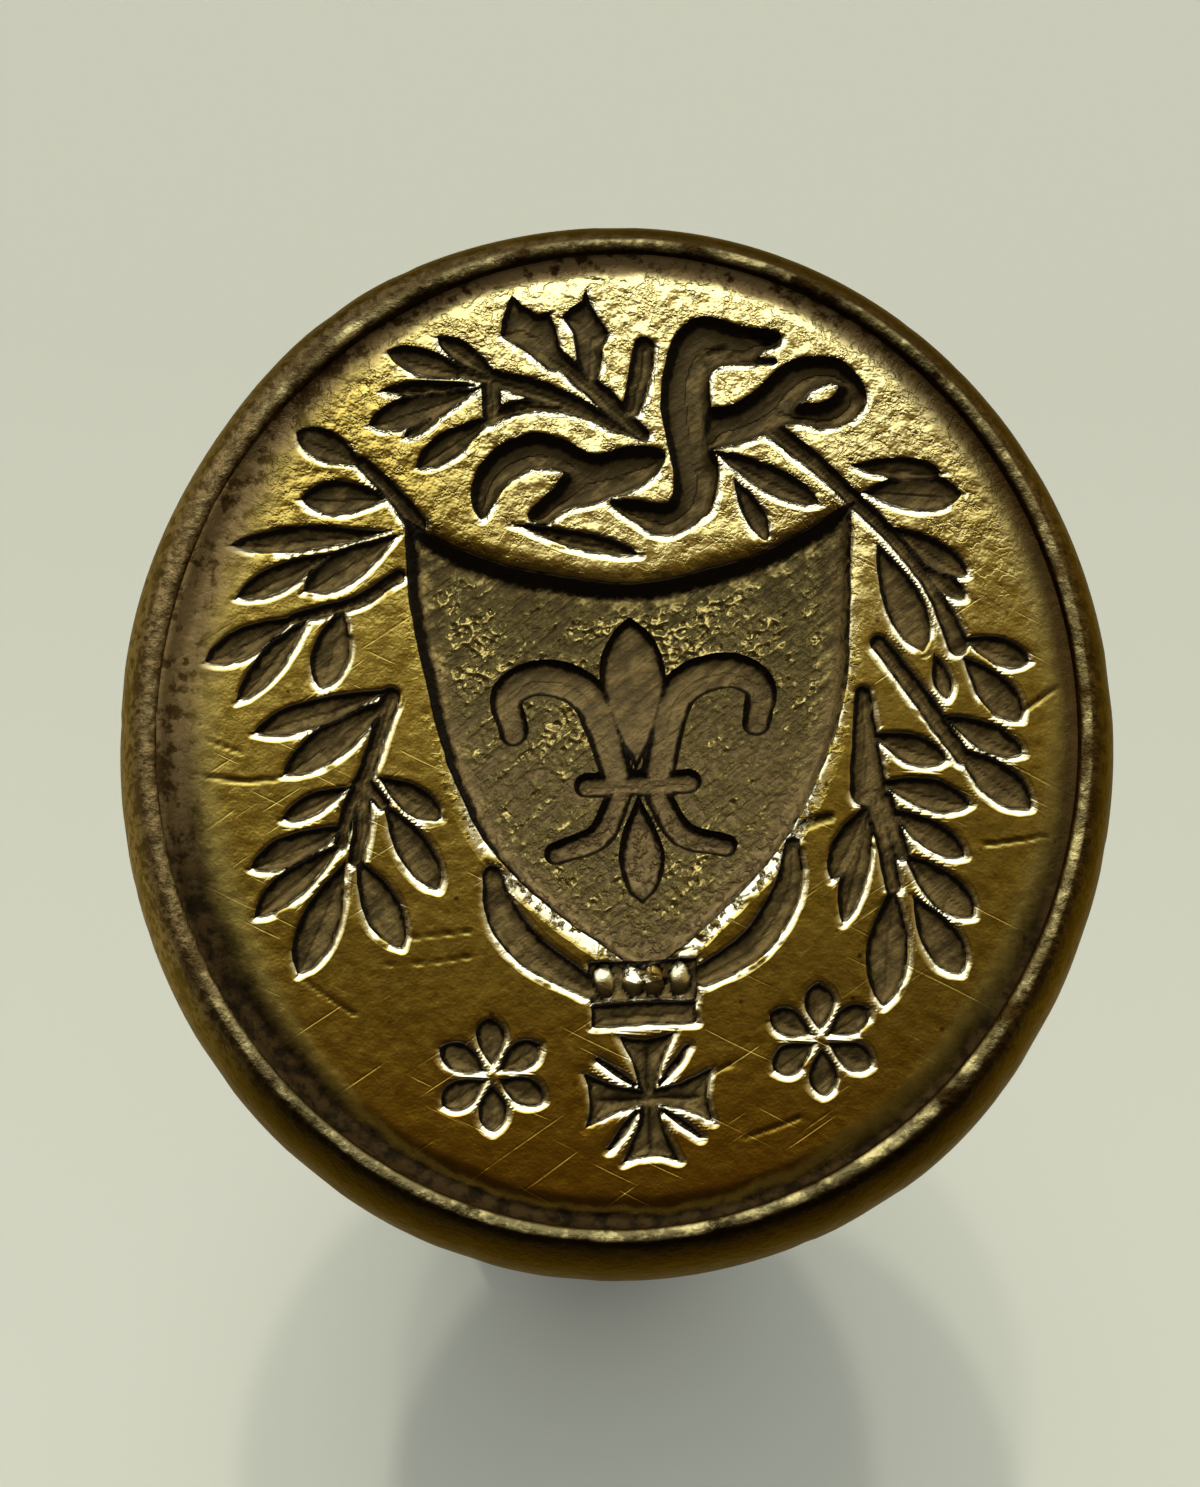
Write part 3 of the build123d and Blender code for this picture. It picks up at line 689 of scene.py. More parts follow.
class Relief:
    """Depth of the engraving at points in millimetres, with the distances that its finish reads."""

    def __init__(self, sizes, x, y):
        reach, depth = sizes.wall / MM, sizes.cut_depth / MM
        c, s = math.cos(DRAWING_TURN), math.sin(DRAWING_TURN)
        p = np.stack([c * x + s * y - DRAWING_SHIFT, c * y - s * x], axis=1)
        wobble = np.stack([ripple(x, y, 1.9, 3), ripple(x, y, 1.7, 8)], axis=1)
        tremble = np.stack([ripple(x, y, 0.5, 2), ripple(x, y, 0.55, 7)], axis=1)
        self.p = p + WOBBLE * wobble + TREMBLE * tremble
        self.edge, self.upper = np.full(len(x), FAR), np.zeros(len(x))
        self.shield, self.shield_upper = self.gap_and_side([outline(SHIELD)])
        self.shoulder = self.shield_shoulder()
        self.drop = self.shoulder.copy()
        self.marks = np.zeros(len(x))
        self.sink_shield(sizes.shield_depth / MM)
        # Each group: shapes, shares of the depth and of the wall's width, the level it is cut from, and its
        # dark paint on lower and on upper edges: dirt, with painted shade on the upper ones.
        for shapes, deep, wide, start, dirt in (
            (lily_shapes(), 1.0, 0.8, self.drop, (0.65, 1.2)),
            (spray_shapes(), 1.0, 1.0, self.shoulder, (0.0, 1.0)),
            (serpent_shapes(), 1.6, 1.5, self.shoulder, (0.0, 2.0)),
            (ornament_shapes(), 0.9, 1.0, self.shoulder, (0.0, 0.8)),
        ):
            self.sink(shapes, depth * deep, reach * wide, start, dirt)
        self.raise_beads()
        self.mark([*(stroke(row) for row in SERPENT_MARKS), *round_cross(CROSS_VEIN)], VEIN_DEPTH)
        self.mark([stroke(row) for row in SCRATCHES], SCRATCH_DEPTH)

    def gap_and_side(self, shapes):
        """Distance to shapes, and how far their nearest edge is an upper or left one, from 0 to 1."""
        gap = nearest(self.p, shapes)
        rise = (nearest(self.p + GRAVER_STEP, shapes) - gap) / np.linalg.norm(GRAVER_STEP)
        return gap, step(0.5 + 0.6 * rise)

    def shield_shoulder(self):
        """Rounded fall of the field towards the shield's upper edge."""
        upper = step((self.p[:, 1] - SHOULDER_START) / SHOULDER_SPAN)
        return SHOULDER_DEPTH * upper * np.clip(1 - np.maximum(self.shield, 0) / SHOULDER_WIDTH, 0, 1)**2

    def sink_shield(self, depth):
        """Cuts the shield, deepest under its upper edge."""
        level = depth * (SHIELD_TIP_SHARE + SHIELD_GAIN * step((self.p[:, 1] + SHIELD_TIP) / SHIELD_SPAN))
        inside = np.clip(-self.shield / (SHIELD_WALL + SHIELD_WALL_UPPER * self.shield_upper), 0, 1)
        self.drop = np.maximum(self.drop, self.shoulder + (level - self.shoulder) * inside)

    def sink(self, shapes, depth, reach, start, dirt):
        """Cuts hollow shapes whose upper and left walls slope further in and get the most dark paint: dirt,
        and painted shade.
        """
        gap, upper = self.gap_and_side(shapes)
        t = np.clip(-gap / (reach * (0.4 + 0.6 * upper)), 0, 1)
        self.drop = np.maximum(self.drop, start + depth * t * (2 - t))
        # The weight of dark paint at each edge: painted shade on upper and left edges.
        self.upper = np.where(gap < self.edge, dirt[0] + (dirt[1] - dirt[0]) * upper, self.upper)
        self.edge = np.minimum(self.edge, gap)

    def raise_beads(self):
        """Leaves the beads standing in their bar."""
        along = (self.p[:, 1] - BEAD_BAR[1][1]) / BEAD_HALF[1]
        for place in BEAD_PLACES:
            gap = np.hypot((self.p[:, 0] - place) / BEAD_HALF[0], along)
            bead = np.sqrt(np.clip(1 - gap**2, 0, 1))
            self.drop = self.drop * (1 - BEAD_RISE * bead)
            near = gap < BEAD_SKIRT
            self.edge = np.where(near, np.maximum(self.edge, (1 - gap) * BEAD_FALL), self.edge)
            self.upper = np.where(near, 0, self.upper)

    def mark(self, shapes, depth):
        """Thin strokes with dirt in them, on whatever lies under them."""
        line = step(-nearest(self.p, shapes) / MARK_WALL)
        self.drop = self.drop + depth * line
        self.marks = np.maximum(self.marks, line)


class SEAL_OT_matrix_plate(bpy.types.Operator):
    """Engraved brass plate: domed field, cove and the cut design"""

    bl_idname = "seal.matrix_plate"
    bl_label = "Matrix plate"

    def execute(self, context):
        sizes = context.scene.seal_face
        half = (plate_high - plate_low) / 2 / MM + Vector((PLATE_LAP, PLATE_LAP, 0))
        bm = self.oval_sheet(sizes.cell / MM, half)
        piece = new_piece(
            "engraved_plate", bm, "head", engraved_brass(context.scene.seal_colours, sizes),
            "engraved_brass", "matrix_plate")
        self.engrave(piece.data, sizes, half)
        piece.data.set_sharp_from_angle(angle=PLATE_SHARP)
        return {"FINISHED"}

    def oval_sheet(self, cell, half):
        """A flat oval grid with a skirt and a bottom, its top at 0 and its bottom at -1."""
        bm = bmesh.new()
        columns, rows = round(2 * half.x / cell), round(2 * half.y / cell)
        bmesh.ops.create_grid(bm, x_segments=columns, y_segments=rows, size=1.0)
        bmesh.ops.scale(bm, vec=(half.x + cell, half.y + cell, 1), verts=bm.verts)
        share = {v: math.hypot(v.co.x / half.x, v.co.y / half.y) for v in bm.verts}
        outside = [f for f in bm.faces if sum(share[v] > 1 for v in f.verts) > 2]
        bmesh.ops.delete(bm, geom=outside, context="FACES")
        for v in bm.verts:
            if v.is_boundary:
                grow = math.hypot(v.co.x / half.x, v.co.y / half.y)
                v.co.x /= grow
                v.co.y /= grow
        border = [e for e in bm.edges if e.is_boundary]
        skirt = bmesh.ops.extrude_edge_only(bm, edges=border)["geom"]
        bmesh.ops.translate(bm, vec=(0, 0, -1), verts=[g for g in skirt if isinstance(g, bmesh.types.BMVert)])
        bmesh.ops.edgeloop_fill(bm, edges=[e for e in bm.edges if e.is_boundary])
        bmesh.ops.recalc_face_normals(bm, faces=bm.faces)
        return bm

    def engrave(self, mesh, sizes, half):
        points = get_points(mesh)
        x, y = points[:, 0], points[:, 1]
        top = points[:, 2] > -0.5
        relief = Relief(sizes, x, y)
        mean = (half.x + half.y) / 2
        bow = (mean**2 + (sizes.dome_rise / MM)**2) / (2 * sizes.dome_rise / MM)
        level = np.sqrt(bow**2 - x**2 - y**2) - bow
        level += sum(height * ripple(x, y, *wave) for height, *wave in FIELD_WAVES)
        cove = self.field_gap(x, y, half, sizes) + COVE_WAVE[0] * ripple(x, y, *COVE_WAVE[1:])
        fall = step((cove - COVE_START) / COVE_SPAN)
        level -= fall * sizes.cove_depth / MM + relief.drop * (1 - fall)
        level += np.clip((cove - BORDER_START) / BORDER_SPAN, 0, 1)**2 * (BORDER_LEVEL - level)
        crest = collet_high.z / MM - FACE_DROP
        points[:, 2] = np.where(top, np.minimum(crest + level, crest), plate_low.z / MM)
        set_points(mesh, points * MM)
        set_attribute(mesh, "edge", np.clip(relief.edge, -EDGE_RANGE, EDGE_RANGE))
        set_attribute(mesh, "upper", relief.upper)
        set_attribute(mesh, "shield", np.clip(relief.shield, -EDGE_RANGE, EDGE_RANGE))
        set_attribute(mesh, "shield_upper", relief.shield_upper)
        # The plate's sides and underside, under the collet's lip, are painted dark as shade.
        set_attribute(mesh, "marks", np.where(top, relief.marks * (1 - fall), 1))
        set_attribute(mesh, "cove", np.clip(cove, -COVE_RANGE, COVE_RANGE))

    def field_gap(self, x, y, half, sizes):
        """Distance outside the field's oval."""
        a, b = half.x - sizes.cove_width / MM, half.y - sizes.cove_width / MM
        u, v = (x - FIELD_MIDDLE[0]) / a, (y - FIELD_MIDDLE[1]) / b
        share = np.maximum(np.hypot(u, v), 1e-6)
        height, middle, spread = COVE_SWELL
        swell = height * np.exp(-((np.arctan2(y, x) - middle) / spread)**2)
        return share * (share - 1) / np.hypot(u / a, v / b).clip(1e-6) - swell


def engraved_brass(colours, sizes):
    """Rubbed brass with dark matt cuts, pits, scratches and a toned cove, with painted light and shade over
    it.
    """
    material, finish, shader = new_finish("engraved_brass")
    shader.inputs["Specular IOR Level"].default_value = 0.2
    place = finish.coordinates()
    edge, upper = finish.attribute("edge"), finish.attribute("upper")
    shield, shield_upper = finish.attribute("shield"), finish.attribute("shield_upper")
    cove, marks = finish.attribute("cove"), finish.attribute("marks")
    across, along = finish.part(place, "X"), finish.part(place, "Y")
    broad = finish.noise(place, 0.22, 3.0)
    grain = finish.noise(place, 2.2, 6.0, 0.65)
    pebble = finish.noise(place, 1.9, 3.0, 0.6)
    crackle = finish.cells(place, 2.6, "SMOOTH_F1")
    ridges = 1 - abs(finish.noise(place, 1.5, 4.0, 0.6) - 0.5).between(0.0, 0.04)
    hammer = finish.cells(place, 5.5, "SMOOTH_F1")
    fine = finish.noise(place, 14.0, 2.0)
    fray = finish.noise(place, 4.0, 4.0, 0.6)
    patchy = finish.noise(place, 1.1, 2.0).between(0.3, 0.46)
    streaks = finish.noise(finish.coordinates((0.0, 0.0, 0.75), (0.7, 5.0, 1.0)), 1.0, 4.0, 0.6)
    cut, sunk = 1 - edge.between(-0.03, 0.01), 1 - shield.between(-0.04, 0.01)
    low = cut.most(sunk)
    rugged = 0.2 + 0.8 * along.between(1.0, 8.0)

    # Field with fine ridges, mottling and pits, golden at the top and browner towards the bottom and the
    # sides: toned brass, partly painted light and shade.
    tone_and_shade = 0.35 * broad + 0.35 * grain - 0.055 * along + 0.03 * across.most(0.0) - 0.09 * across.least(0.0)
    colour = finish.mix(tone_and_shade.between(0.0, 0.55), colours.gold, colours.brown)
    colour = finish.mix(0.5 * rugged * ridges, colour, times(colours.brown, 0.6))
    mottle = 0.5 * (1 - rugged) * (1 - (0.6 * grain + 0.4 * fray).between(0.38, 0.58))
    colour = finish.mix(mottle, colour, times(colours.brown, 0.4))
    pits = (finish.cells(place, 1.1) + 0.16 * grain).between(0.12, 0.17)
    colour = finish.mix((1 - pits) * 0.8, colour, colours.patina)
    # Floors of the cuts and of the shield, with bare flecks in the shield. Floors are painted darker under
    # upper edges and towards the top, which is painted shade.
    shaded = 0.06 * upper * cut + 0.07 * along.between(2.0, 7.0)
    worn = (0.5 * streaks + 0.5 * grain - shaded).between(0.36, 0.58)
    floor = finish.mix(worn, times(colours.floor, 0.3), colours.floor)
    flecks = (0.3 * broad + 0.4 * grain + 0.3 * streaks).between(0.44, 0.54)
    bare = sunk * (1 - cut) * (1 - shield.between(-EDGE_RANGE, -0.2)) * flecks
    # The shield's floor is painted lighter in its lower half, a painted pool of light.
    floor = finish.mix(0.5 * sunk * (1 - along.between(-3.0, 3.0)), floor, colours.crust)
    fleck = [0.4 * gold + 0.6 * brown for gold, brown in zip(colours.gold, colours.brown)]
    floor = finish.mix(bare * 0.65, floor, fleck)
    colour = finish.mix(low, colour, floor)

    # Cove: crust at the top and the left, patina at the right, dark at the bottom; the darker right and the
    # dark bottom are painted shade.
    rag = finish.noise(place, 0.9, 5.0, 0.6)
    left, lower = (-0.1 * across).between(0.3, 0.9), (0.3 * rag - 0.1 * along).between(0.0, 0.7)
    right = (0.1 * across).between(0.2, 0.9)
    toned = (cove + 0.4 * rag).between(0.1 - 0.9 * left - 0.6 * right, 0.35 + 0.1 * right)
    patches = (0.7 * grain + 0.3 * rag).between(0.43, 0.51)
    crust = finish.mix(patches, times(colours.patina, 0.7), colours.crust)
    crust = finish.mix(right.most(0.35 * left), crust, colours.patina)
    dark = finish.mix(
        grain.between(0.4, 0.6), times(colours.patina, 0.12), times(colours.patina, 0.5))
    russet = [c * share for c, share in zip(colours.brown, (0.96, 0.72, 0.3))]
    # Darker russet brown towards the bottom and patina to the right, over the field too: partly toned brass,
    # partly painted shade.
    colour = finish.mix(0.7 * (-0.1 * along).between(0.5, 1.1) * (1 - low), colour, russet)
    colour = finish.mix(0.2 * right, colour, colours.patina)
    colour = finish.mix(toned, colour, finish.mix(lower, crust, dark))

    # Rubbed facets along the cuts' lower and right edges, painted pale: wear, and a painted highlight on the
    # edges turned to the light, most at the shield's bottom.
    brim, shield_brim = sizes.brim / MM, 2 * sizes.brim / MM
    lip = (1 - upper).most(0.0) * patchy
    lowest = (-0.3 * along).between(0.2, 1.0)
    shield_lip = (1 - shield_upper) * patchy * (0.25 + 0.75 * lowest) * fray.between(0.36, 0.5)
    facets = (brim - edge).most(0.0).least(brim) * lip
    shield_facets = (shield_brim - shield).most(0.0).least(shield_brim) * shield_lip
    rub_and_highlight = (facets * (1 / brim)).most(shield_facets * (1 / shield_brim)).between(0.05, 0.35) * (1 - low)
    colour = finish.mix(rub_and_highlight * (1 - toned), colour, colours.rub_and_highlight)

    # Dark lines along the cuts: thin dirt all round, widened by painted shade on upper and left edges; a
    # painted shadow under the shield's top edge; dirt in the marks.
    width = 0.11 * upper + 0.2 * (fray - 0.37)
    dirt_and_shade_line = (edge + width).between(-0.05, 0.04) * (1 - edge.between(0.0, 0.02))
    band = 0.34 * shield_upper + 0.3 * (fray - 0.4)
    shield_dirt_and_shadow = (shield + band).between(-0.06, 0.06) * (1 - shield.between(0.0, 0.03))
    colour = finish.mix(dirt_and_shade_line.most(shield_dirt_and_shadow).most(0.8 * marks), colour, colours.dirt)

    # Roughness, relief with hairlines, and metal.
    rough = 0.14 + 0.12 * pebble + (0.26 - 0.22 * bare) * low + 0.35 * toned
    hairs = 0.0
    for turn, scale in ((0.65, 1.0), (-0.4, 1.17)):
        lines = finish.noise(finish.coordinates((0.0, 0.0, turn), (0.3, 7.0, 1.0)), scale, 1.0)
        hairs = lines.between(0.71, 0.76) + hairs
    floor_relief = low * (0.07 * grain + 0.05 * streaks) + 0.3 * bare * hammer
    crinkles = rugged * (0.085 * pebble + 0.045 * crackle - 0.011 * rugged * ridges)
    surface = (1 - low) * crinkles + 0.05 * toned * (grain - 0.5)
    height = surface + 0.003 * fine - 0.003 * hairs - 0.32 * (facets + shield_facets) + floor_relief
    metal = 1 - (0.45 - 0.4 * bare) * low - 0.2 * toned
    feed(finish, shader, base_color=colour, roughness=rough, metallic=metal.most(rub_and_highlight),
         normal=finish.bump(height, MM))
    return material


class SEAL_OT_collet(bpy.types.Operator):
    """Collet: screw socket, foot, bead, trumpet flare and the rolled rim"""

    bl_idname = "seal.collet"
    bl_label = "Collet"

    def execute(self, context):
        material = worn_brass(context.scene.seal_colours)
        piece = new_piece("collet_body", self.loft(self.rings()), "head", material, "worn_brass", "collet")
        self.wear(piece.data)
        piece.data.set_sharp_from_angle(angle=COLLET_SHARP)
        return {"FINISHED"}

    def rings(self):
        """Half sizes and height of each ring in millimetres, from the socket's end to the cup's floor."""
        low, crest = collet_low.z / MM, collet_high.z / MM
        wide, long = collet_high.x / MM, collet_high.y / MM
        socket = (SOCKET_RADIUS, SOCKET_DEPTH), (SOCKET_RADIUS, SOCKET_BEVEL), (SOCKET_MOUTH, 0)
        rings = [(radius, radius, low + height) for radius, height in socket]
        rings += self.bead(FOOT_RADIUS, FOOT_SWELL, low + FOOT_HALF, FOOT_HALF, np.linspace(-90, 90, 9))
        rings += [(STEM_RADIUS, STEM_RADIUS, low + height) for height in STEM_LOWER]
        rings += self.bead(STEM_RADIUS, STEM_BEAD, low + STEM_BEAD_LEVEL, STEM_BEAD, np.linspace(-80, 80, 11))
        rings += [(STEM_RADIUS, STEM_RADIUS, low + height) for height in STEM_UPPER]
        rise = crest - RIM_DEPTH - low - FLARE_LEVEL
        for share in np.linspace(0, 1, 25):
            spread = share**FLARE_CURVE
            halves = [STEM_RADIUS + spread * (side - FLARE_INSET - STEM_RADIUS) for side in (wide, long)]
            rings.append((*halves, low + FLARE_LEVEL + share * rise))
        for angle in np.radians(np.linspace(-78, 0, 9)):
            rings.append(self.roll(wide, long, crest - RIM_MIDDLE, angle, RIM_FALL))
        for angle in np.radians(np.linspace(6, 90, 15)):
            rings.append(self.roll(wide, long, crest - RIM_MIDDLE, angle, RIM_MIDDLE))
        for inset, drop in LIP:
            rings.append((wide - LIP_INSET - inset, long - LIP_INSET - inset, crest - drop))
        return rings

    def bead(self, radius, swell, level, rise, angles):
        """Rings of a rounded bead, from its lower to its upper end."""
        for angle in np.radians(angles):
            half = radius + swell * math.cos(angle)
            yield half, half, level + rise * math.sin(angle)

    def roll(self, wide, long, level, angle, rise):
        """A ring of the rolled rim."""
        inset = RIM_INSET * (1 - math.cos(angle))
        return wide - inset, long - inset, level + rise * math.sin(angle)

    def loft(self, rings):
        bm = bmesh.new()
        bmesh.ops.create_circle(bm, segments=COLLET_SEGMENTS, radius=1.0)
        first, *others = rings
        bmesh.ops.scale(bm, vec=(first[0], first[1], 1), verts=bm.verts)
        bmesh.ops.translate(bm, vec=(0, 0, first[2]), verts=bm.verts)
        edges = bm.edges[:]
        bmesh.ops.edgeloop_fill(bm, edges=edges)
        last = first
        for ring in others:
            made = bmesh.ops.extrude_edge_only(bm, edges=edges)["geom"]
            verts = [g for g in made if isinstance(g, bmesh.types.BMVert)]
            edges = [g for g in made if isinstance(g, bmesh.types.BMEdge)]
            bmesh.ops.scale(bm, vec=(ring[0] / last[0], ring[1] / last[1], 1), verts=verts)
            bmesh.ops.translate(bm, vec=(0, 0, ring[2] - last[2]), verts=verts)
            last = ring
        bmesh.ops.edgeloop_fill(bm, edges=edges)
        bmesh.ops.recalc_face_normals(bm, faces=bm.faces)
        bmesh.ops.scale(bm, vec=(MM, MM, MM), verts=bm.verts)
        return bm

    def wear(self, mesh):
        """Swells, dents and nicks of the rim, and each point's distance outside the lip for its finish."""
        points = get_points(mesh)
        x, y, z = (points / MM).T
        crest = collet_high.z / MM
        angle = np.arctan2(y, x)
        wide, long = collet_high.x / MM - LIP_INSET, collet_high.y / MM - LIP_INSET
        share = np.hypot(x / wide, y / long)
        near = step((z - crest + WEAR_START) / WEAR_SPAN)
        outside = step((share - 1.0) / 0.02)
        dents = sum(
            part * np.clip(ripple(x, y, size, seed) - least, 0, 1) for size, seed, least, part in RIM_DENTS)
        bulge = sum(rise * np.exp(-((angle - place) / BULGE_SPREAD)**2) for place, rise in RIM_BULGES)
        pull = 1 + (bulge / wide - DENT_DEPTH * dents) * near * outside
        points[:, 0] *= pull
        points[:, 1] *= pull
        nicks = np.clip(ripple(angle * NICK_PACE, z * 0, *NICK_WAVE) - NICK_LEAST, 0, 1)
        points[:, 2] -= NICK_DEPTH * MM * nicks * step((z - crest + NICK_REACH) / NICK_REACH)
        set_points(mesh, points)
        inset = (share - 1.0) * (wide + long) / 2
        set_attribute(mesh, "inset", np.where(z > crest - LIP_REACH, inset, 1.0))


def worn_brass(colours):
    """Dark patina, greyer on the left, rubbed bright along the crest with painted glints, and painted shade
    at the top and bottom ends and in the seam at the top.
    """
    material, finish, shader = new_finish("worn_brass", metallic=1.0, specular_tint=(0.7, 0.56, 0.34, 1.0))
    place = finish.coordinates()
    inset = finish.attribute("inset")
    grain = finish.noise(place, 1.3, 7.0, 0.7)
    broad = finish.noise(place, 0.35, 3.0)
    fine = finish.noise(place, 4.0, 4.0, 0.6)
    left = (0.4 * broad - 0.04 * finish.part(place, "X")).between(0.05, 0.55)
    above = (0.2 * broad + 0.1 * finish.part(place, "Y")).between(-0.2, 0.5)
    ends = abs(finish.part(place, "Y")).between(5.0, 10.0)
    tone = finish.mix(left, times(colours.patina, 1.2), times(colours.crust, 0.92))
    # The top and bottom ends painted darker, most at the bottom: painted shade.
    tone = finish.mix(ends * (0.92 - 0.3 * above), tone, times(colours.patina, 0.2))
    mottle = (1 - grain.between(0.40, 0.52)) * 0.6
    mottle = mottle.most((1 - fine.between(0.4, 0.56)) * 0.7)
    tone = finish.mix(mottle, tone, times(colours.patina, 0.4))
    # Dirt in the seam inside the lip, painted heavier at the top as shade.
    seam_dirt_and_shade = (1 - inset.between(-0.2, -0.14)) * (0.2 + 0.5 * above)
    tone = finish.mix(seam_dirt_and_shade * grain.between(0.42, 0.55), tone, colours.dirt)
    # Rubbed brass along the crest, flecked with painted glints.
    kept = (0.6 * finish.noise(place, 0.5, 2.0) + 0.4 * grain).between(0.4, 0.5)
    kept = kept * (1 - 0.85 * left * (1 - ends))
    line = (1 - abs(inset + 0.02).between(0.07, 0.16)) * kept
    painted_glint = finish.noise(place, 1.5, 4.0, 0.6).between(0.46, 0.66)
    colour = finish.mix(line * (0.16 + 0.6 * painted_glint), tone, colours.gold)
    rough = 0.28 + 0.22 * grain - 0.1 * line
    relief = finish.bump(0.09 * grain + 0.03 * fine, MM)
    feed(finish, shader, base_color=colour, roughness=rough, normal=relief)
    return material


def dress(node, material):
    """Gives a CAD node its finish."""
    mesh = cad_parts[node].data
    mesh.materials.clear()
    mesh.materials.append(material)


class SEAL_OT_fittings(bpy.types.Operator):
    """Turned brass fittings of the handle: pommel, washer, ferrule and its pins"""

    bl_idname = "seal.fittings"
    bl_label = "Brass fittings"

    def execute(self, context):
        material = turned_brass(context.scene.seal_colours)
        for node in ("pommel", "pommel_washer", "ferrule", "ferrule_pins"):
            dress(node, material)
        return {"FINISHED"}


def turned_brass(colours):
    """Aged satin brass with the lathe's fine lines."""
    material, finish, shader = new_finish("turned_brass", metallic=1.0)
    place = finish.coordinates()
    grain = finish.noise(place, 1.2, 6.0, 0.65)
    broad = finish.noise(place, 0.3, 3.0)
    lines = finish.noise(finish.coordinates(stretch=(0.02, 0.02, 14.0)), 1.0, 3.0)
    bright = times(colours.brown, 0.72)
    aged = (0.5 * broad + 0.5 * grain).between(0.38, 0.6)
    tone = finish.mix(aged, times(colours.patina, 2.5), bright)
    colour = finish.mix(grain.between(0.58, 0.75), tone, colours.patina)
    relief = finish.bump(lines + 0.3 * grain, 0.012 * MM)
    feed(finish, shader, base_color=colour, roughness=0.24 + 0.22 * grain, normal=relief)
    return material


class SEAL_OT_grip(bpy.types.Operator):
    """Turned wooden grip"""

    bl_idname = "seal.grip"
    bl_label = "Grip"

    def execute(self, context):
        dress("grip", polished_wood(context.scene.seal_colours))
        return {"FINISHED"}


def polished_wood(colours):
    """Dark hardwood with its grain along the handle under a worn polish."""
    material, finish, shader = new_finish("hardwood", coat_roughness=0.18)
    along = finish.coordinates(stretch=(1.0, 1.0, 0.05))
    rings = finish.noise(along, 1.3, 5.0, 0.6)
    pores = finish.noise(finish.coordinates(stretch=(9.0, 9.0, 0.5)), 1.0, 2.0)
    light = times(colours.wood, 1.5)
    dark = times(colours.wood, 0.35)
    colour = finish.mix(rings.between(0.32, 0.68), dark, light)
    colour = finish.mix(pores.between(0.62, 0.72), colour, dark)
    relief = finish.bump(1 - pores.between(0.6, 0.75), 0.02 * MM)
    wear = finish.noise(finish.coordinates(), 0.4, 3.0)
    feed(finish, shader, base_color=colour, roughness=0.3 + 0.2 * wear, normal=relief,
         coat_weight=0.3 - 0.25 * wear.between(0.5, 0.7))
    return material


class SEAL_OT_neck_washer(bpy.types.Operator):
    """Leather washer under the head"""

    bl_idname = "seal.neck_washer"
    bl_label = "Neck washer"

    def execute(self, context):
        dress("neck_washer", pressed_leather(context.scene.seal_colours))
        return {"FINISHED"}


def pressed_leather(colours):
    material, finish, shader = new_finish("leather")
    place = finish.coordinates()
    grain = finish.cells(place, 5.0)
    tone = finish.noise(place, 1.1, 4.0)
    colour = finish.mix(tone.between(0.35, 0.65), times(colours.leather, 0.5), colours.leather)
    feed(finish, shader, base_color=colour, roughness=0.55 + 0.25 * tone,
         normal=finish.bump(grain, 0.05 * MM))
    return material


class SEAL_OT_rod(bpy.types.Operator):
    """Steel rod with its threaded stud, and the cement bed under the plate"""

    bl_idname = "seal.rod"
    bl_label = "Rod and cement"

    def execute(self, context):
        dress("tang_rod", turned_steel(context.scene.seal_colours))
        dress("setting_cement", dark_cement(context.scene.seal_colours))
        return {"FINISHED"}


def turned_steel(colours):
    material, finish, shader = new_finish("steel", metallic=1.0)
    place = finish.coordinates()
    lines = finish.noise(finish.coordinates(stretch=(0.03, 0.03, 18.0)), 1.0, 2.0)
    stain = finish.noise(place, 0.9, 5.0, 0.6)
    colour = finish.mix(stain.between(0.5, 0.7), colours.steel, times(colours.steel, 0.45))
    feed(finish, shader, base_color=colour, roughness=0.28 + 0.2 * stain,
         normal=finish.bump(lines, 0.006 * MM))
    return material


def dark_cement(colours):
    material, finish, shader = new_finish("setting_cement")
    place = finish.coordinates()
    grit = finish.noise(place, 3.0, 5.0)
    colour = finish.mix(grit, colours.dirt, times(colours.dirt, 9))
    feed(finish, shader, base_color=colour, roughness=0.6 + 0.2 * grit, normal=finish.bump(grit, 0.04 * MM))
    return material


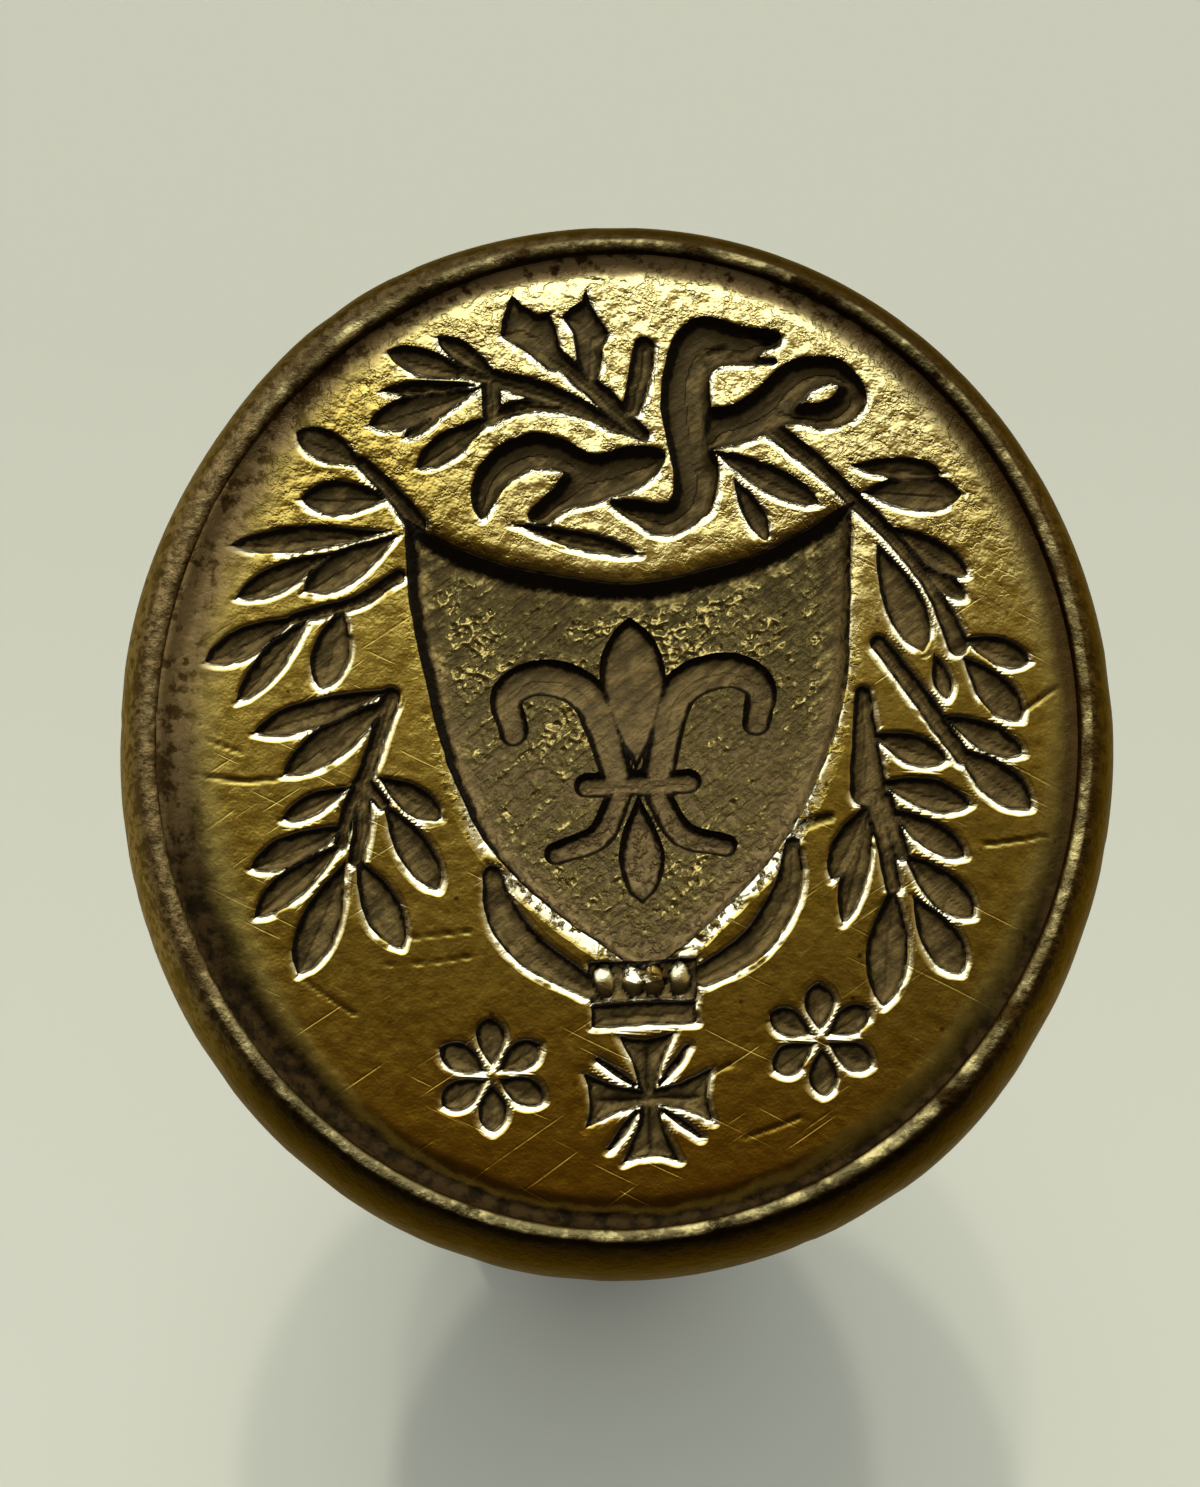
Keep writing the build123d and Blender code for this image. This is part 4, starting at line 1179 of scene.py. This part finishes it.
class SEAL_OT_stage(bpy.types.Operator):
    """Pale floor, lamps, soft light and the camera over the face"""

    bl_idname = "seal.stage"
    bl_label = "Stage"

    def execute(self, context):
        settings = context.scene.seal_stage
        context.scene.view_settings.view_transform = "Standard"
        self.lay_floor(context)
        self.hang_lamps(context, settings)
        self.spread_fill(context, settings)
        self.light_room(context, settings)
        self.set_camera(context, settings)
        return {"FINISHED"}

    def lay_floor(self, context):
        bm = bmesh.new()
        bmesh.ops.create_grid(bm, x_segments=8, y_segments=8, size=FLOOR_HALF)
        mesh = bpy.data.meshes.new("floor")
        bm.to_mesh(mesh)
        bm.free()
        mesh.materials.append(pale_paper(context.scene.seal_colours))
        floor = bpy.data.objects.new("floor", mesh)
        context.scene.collection.objects.link(floor)

    def hang_lamps(self, context, settings):
        """Lamps above and behind the seal, whose shadows overlap on the floor."""
        for name, across, along, width, share in LAMPS:
            lamp = bpy.data.lights.new(name, "SUN")
            lamp.energy = settings.lamp * share
            lamp.angle = math.radians(width)
            lamp.color = LAMP_COLOUR
            holder = bpy.data.objects.new(name, lamp)
            aim = Vector((math.tan(math.radians(across)), math.tan(math.radians(along)), 1.0))
            holder.rotation_mode = "QUATERNION"
            holder.rotation_quaternion = aim.to_track_quat("Z", "Y")
            self.hang(context, holder)

    def hang(self, context, holder):
        holder.visible_glossy = False
        context.scene.collection.objects.link(holder)

    def spread_fill(self, context, settings):
        """Cool light from all round for the floor and the matt finishes."""
        fill = bpy.data.lights.new("fill", "SUN")
        fill.energy = settings.fill
        fill.angle = FILL_WIDTH
        fill.color = FILL_COLOUR
        self.hang(context, bpy.data.objects.new("fill", fill))

    def light_room(self, context, settings):
        """A dim brown room with one broad pale window behind the seal."""
        world = bpy.data.worlds.new("room")
        context.scene.world = world
        world.use_nodes = True
        finish = Finish(world.node_tree)
        heading = finish.node("ShaderNodeTexCoord", {}, {}, "Generated")
        x, y, z = (finish.part(heading, axis) for axis in "XYZ")
        lean = y.combine("ARCTAN2", y, z) * (180 / math.pi)
        room = finish.ramp(lean * (1 / 180) + 0.5, ROOM)
        lean = lean - SKEW_RIGHT * x.most(0.0) - SKEW_LEFT * x.least(0.0)
        window = lean.between(17.0, 23.5) * (1 - lean.between(60.0, 80.0)) * (1 - abs(x).between(0.5, 0.85))
        edge = times(WINDOW_COLOUR, settings.box)
        pane = finish.mix(lean.between(25.0, 38.0), edge, times(edge, PANE_GAIN))
        light = finish.mix(window, room, pane)
        background = world.node_tree.nodes["Background"]
        finish.put(background.inputs["Color"], light)

    def set_camera(self, context, settings):
        data = bpy.data.cameras.new("camera")
        data.lens = settings.lens
        data.sensor_width = FILM
        data.clip_start = 0.005
        camera = bpy.data.objects.new("camera", data)
        back = Vector((0.0, -math.sin(settings.tilt), math.cos(settings.tilt)))
        target = Vector((CAMERA_AIM[0] * MM, CAMERA_AIM[1] * MM, collet_high.z))
        right = Vector((1.0, 0.0, 0.0))
        up = back.cross(right)
        turn = Matrix.Rotation(settings.roll, 3, back)
        axes = Matrix((turn @ right, turn @ up, back)).transposed()
        camera.matrix_world = Matrix.Translation(target + settings.distance * back) @ axes.to_4x4()
        context.scene.collection.objects.link(camera)
        context.scene.camera = camera


def pale_paper(colours):
    material, finish, shader = new_finish("pale_floor", roughness=0.85)
    place = finish.coordinates()
    # Clouds at random, and the floor painted lighter towards -Y: painted light.
    clouds_and_painted_light = finish.noise(place, 0.02, 2.0) * 0.1 - finish.part(place, "Y") * 0.016 + 0.4
    pale = times(colours.paper, 1.12)
    deep = times(colours.paper, 0.91)
    feed(finish, shader, base_color=finish.mix(clouds_and_painted_light.most(0.0).least(1.0), deep, pale))
    return material


class SEAL_PT_pieces(bpy.types.Panel):
    """Pieces of the seal and their settings"""

    bl_idname = "SEAL_PT_pieces"
    bl_label = "Desk seal"
    bl_space_type = "VIEW_3D"
    bl_region_type = "UI"
    bl_category = "Seal"

    def draw(self, context):
        layout = self.layout
        for group in (context.scene.seal_face, context.scene.seal_colours, context.scene.seal_stage):
            box = layout.box()
            for name in group.__annotations__:
                box.prop(group, name)
        for operator in OPERATORS:
            layout.operator(operator.bl_idname)


OPERATORS = (
    SEAL_OT_stage,
    SEAL_OT_matrix_plate,
    SEAL_OT_collet,
    SEAL_OT_fittings,
    SEAL_OT_grip,
    SEAL_OT_neck_washer,
    SEAL_OT_rod,
)
CLASSES = (SealFaceSizes, SealColours, SealStageSettings, *OPERATORS, SEAL_PT_pieces)


def register():
    for cls in CLASSES:
        bpy.utils.register_class(cls)
    bpy.types.Scene.seal_face = bpy.props.PointerProperty(type=SealFaceSizes)
    bpy.types.Scene.seal_colours = bpy.props.PointerProperty(type=SealColours)
    bpy.types.Scene.seal_stage = bpy.props.PointerProperty(type=SealStageSettings)


def unregister():
    del bpy.types.Scene.seal_stage
    del bpy.types.Scene.seal_colours
    del bpy.types.Scene.seal_face
    for cls in reversed(CLASSES):
        bpy.utils.unregister_class(cls)


def main():
    register()
    bpy.ops.seal.stage()
    bpy.ops.seal.matrix_plate()
    bpy.ops.seal.collet()
    bpy.ops.seal.fittings()
    bpy.ops.seal.grip()
    bpy.ops.seal.neck_washer()
    bpy.ops.seal.rod()


if __name__ == "__main__":
    main()
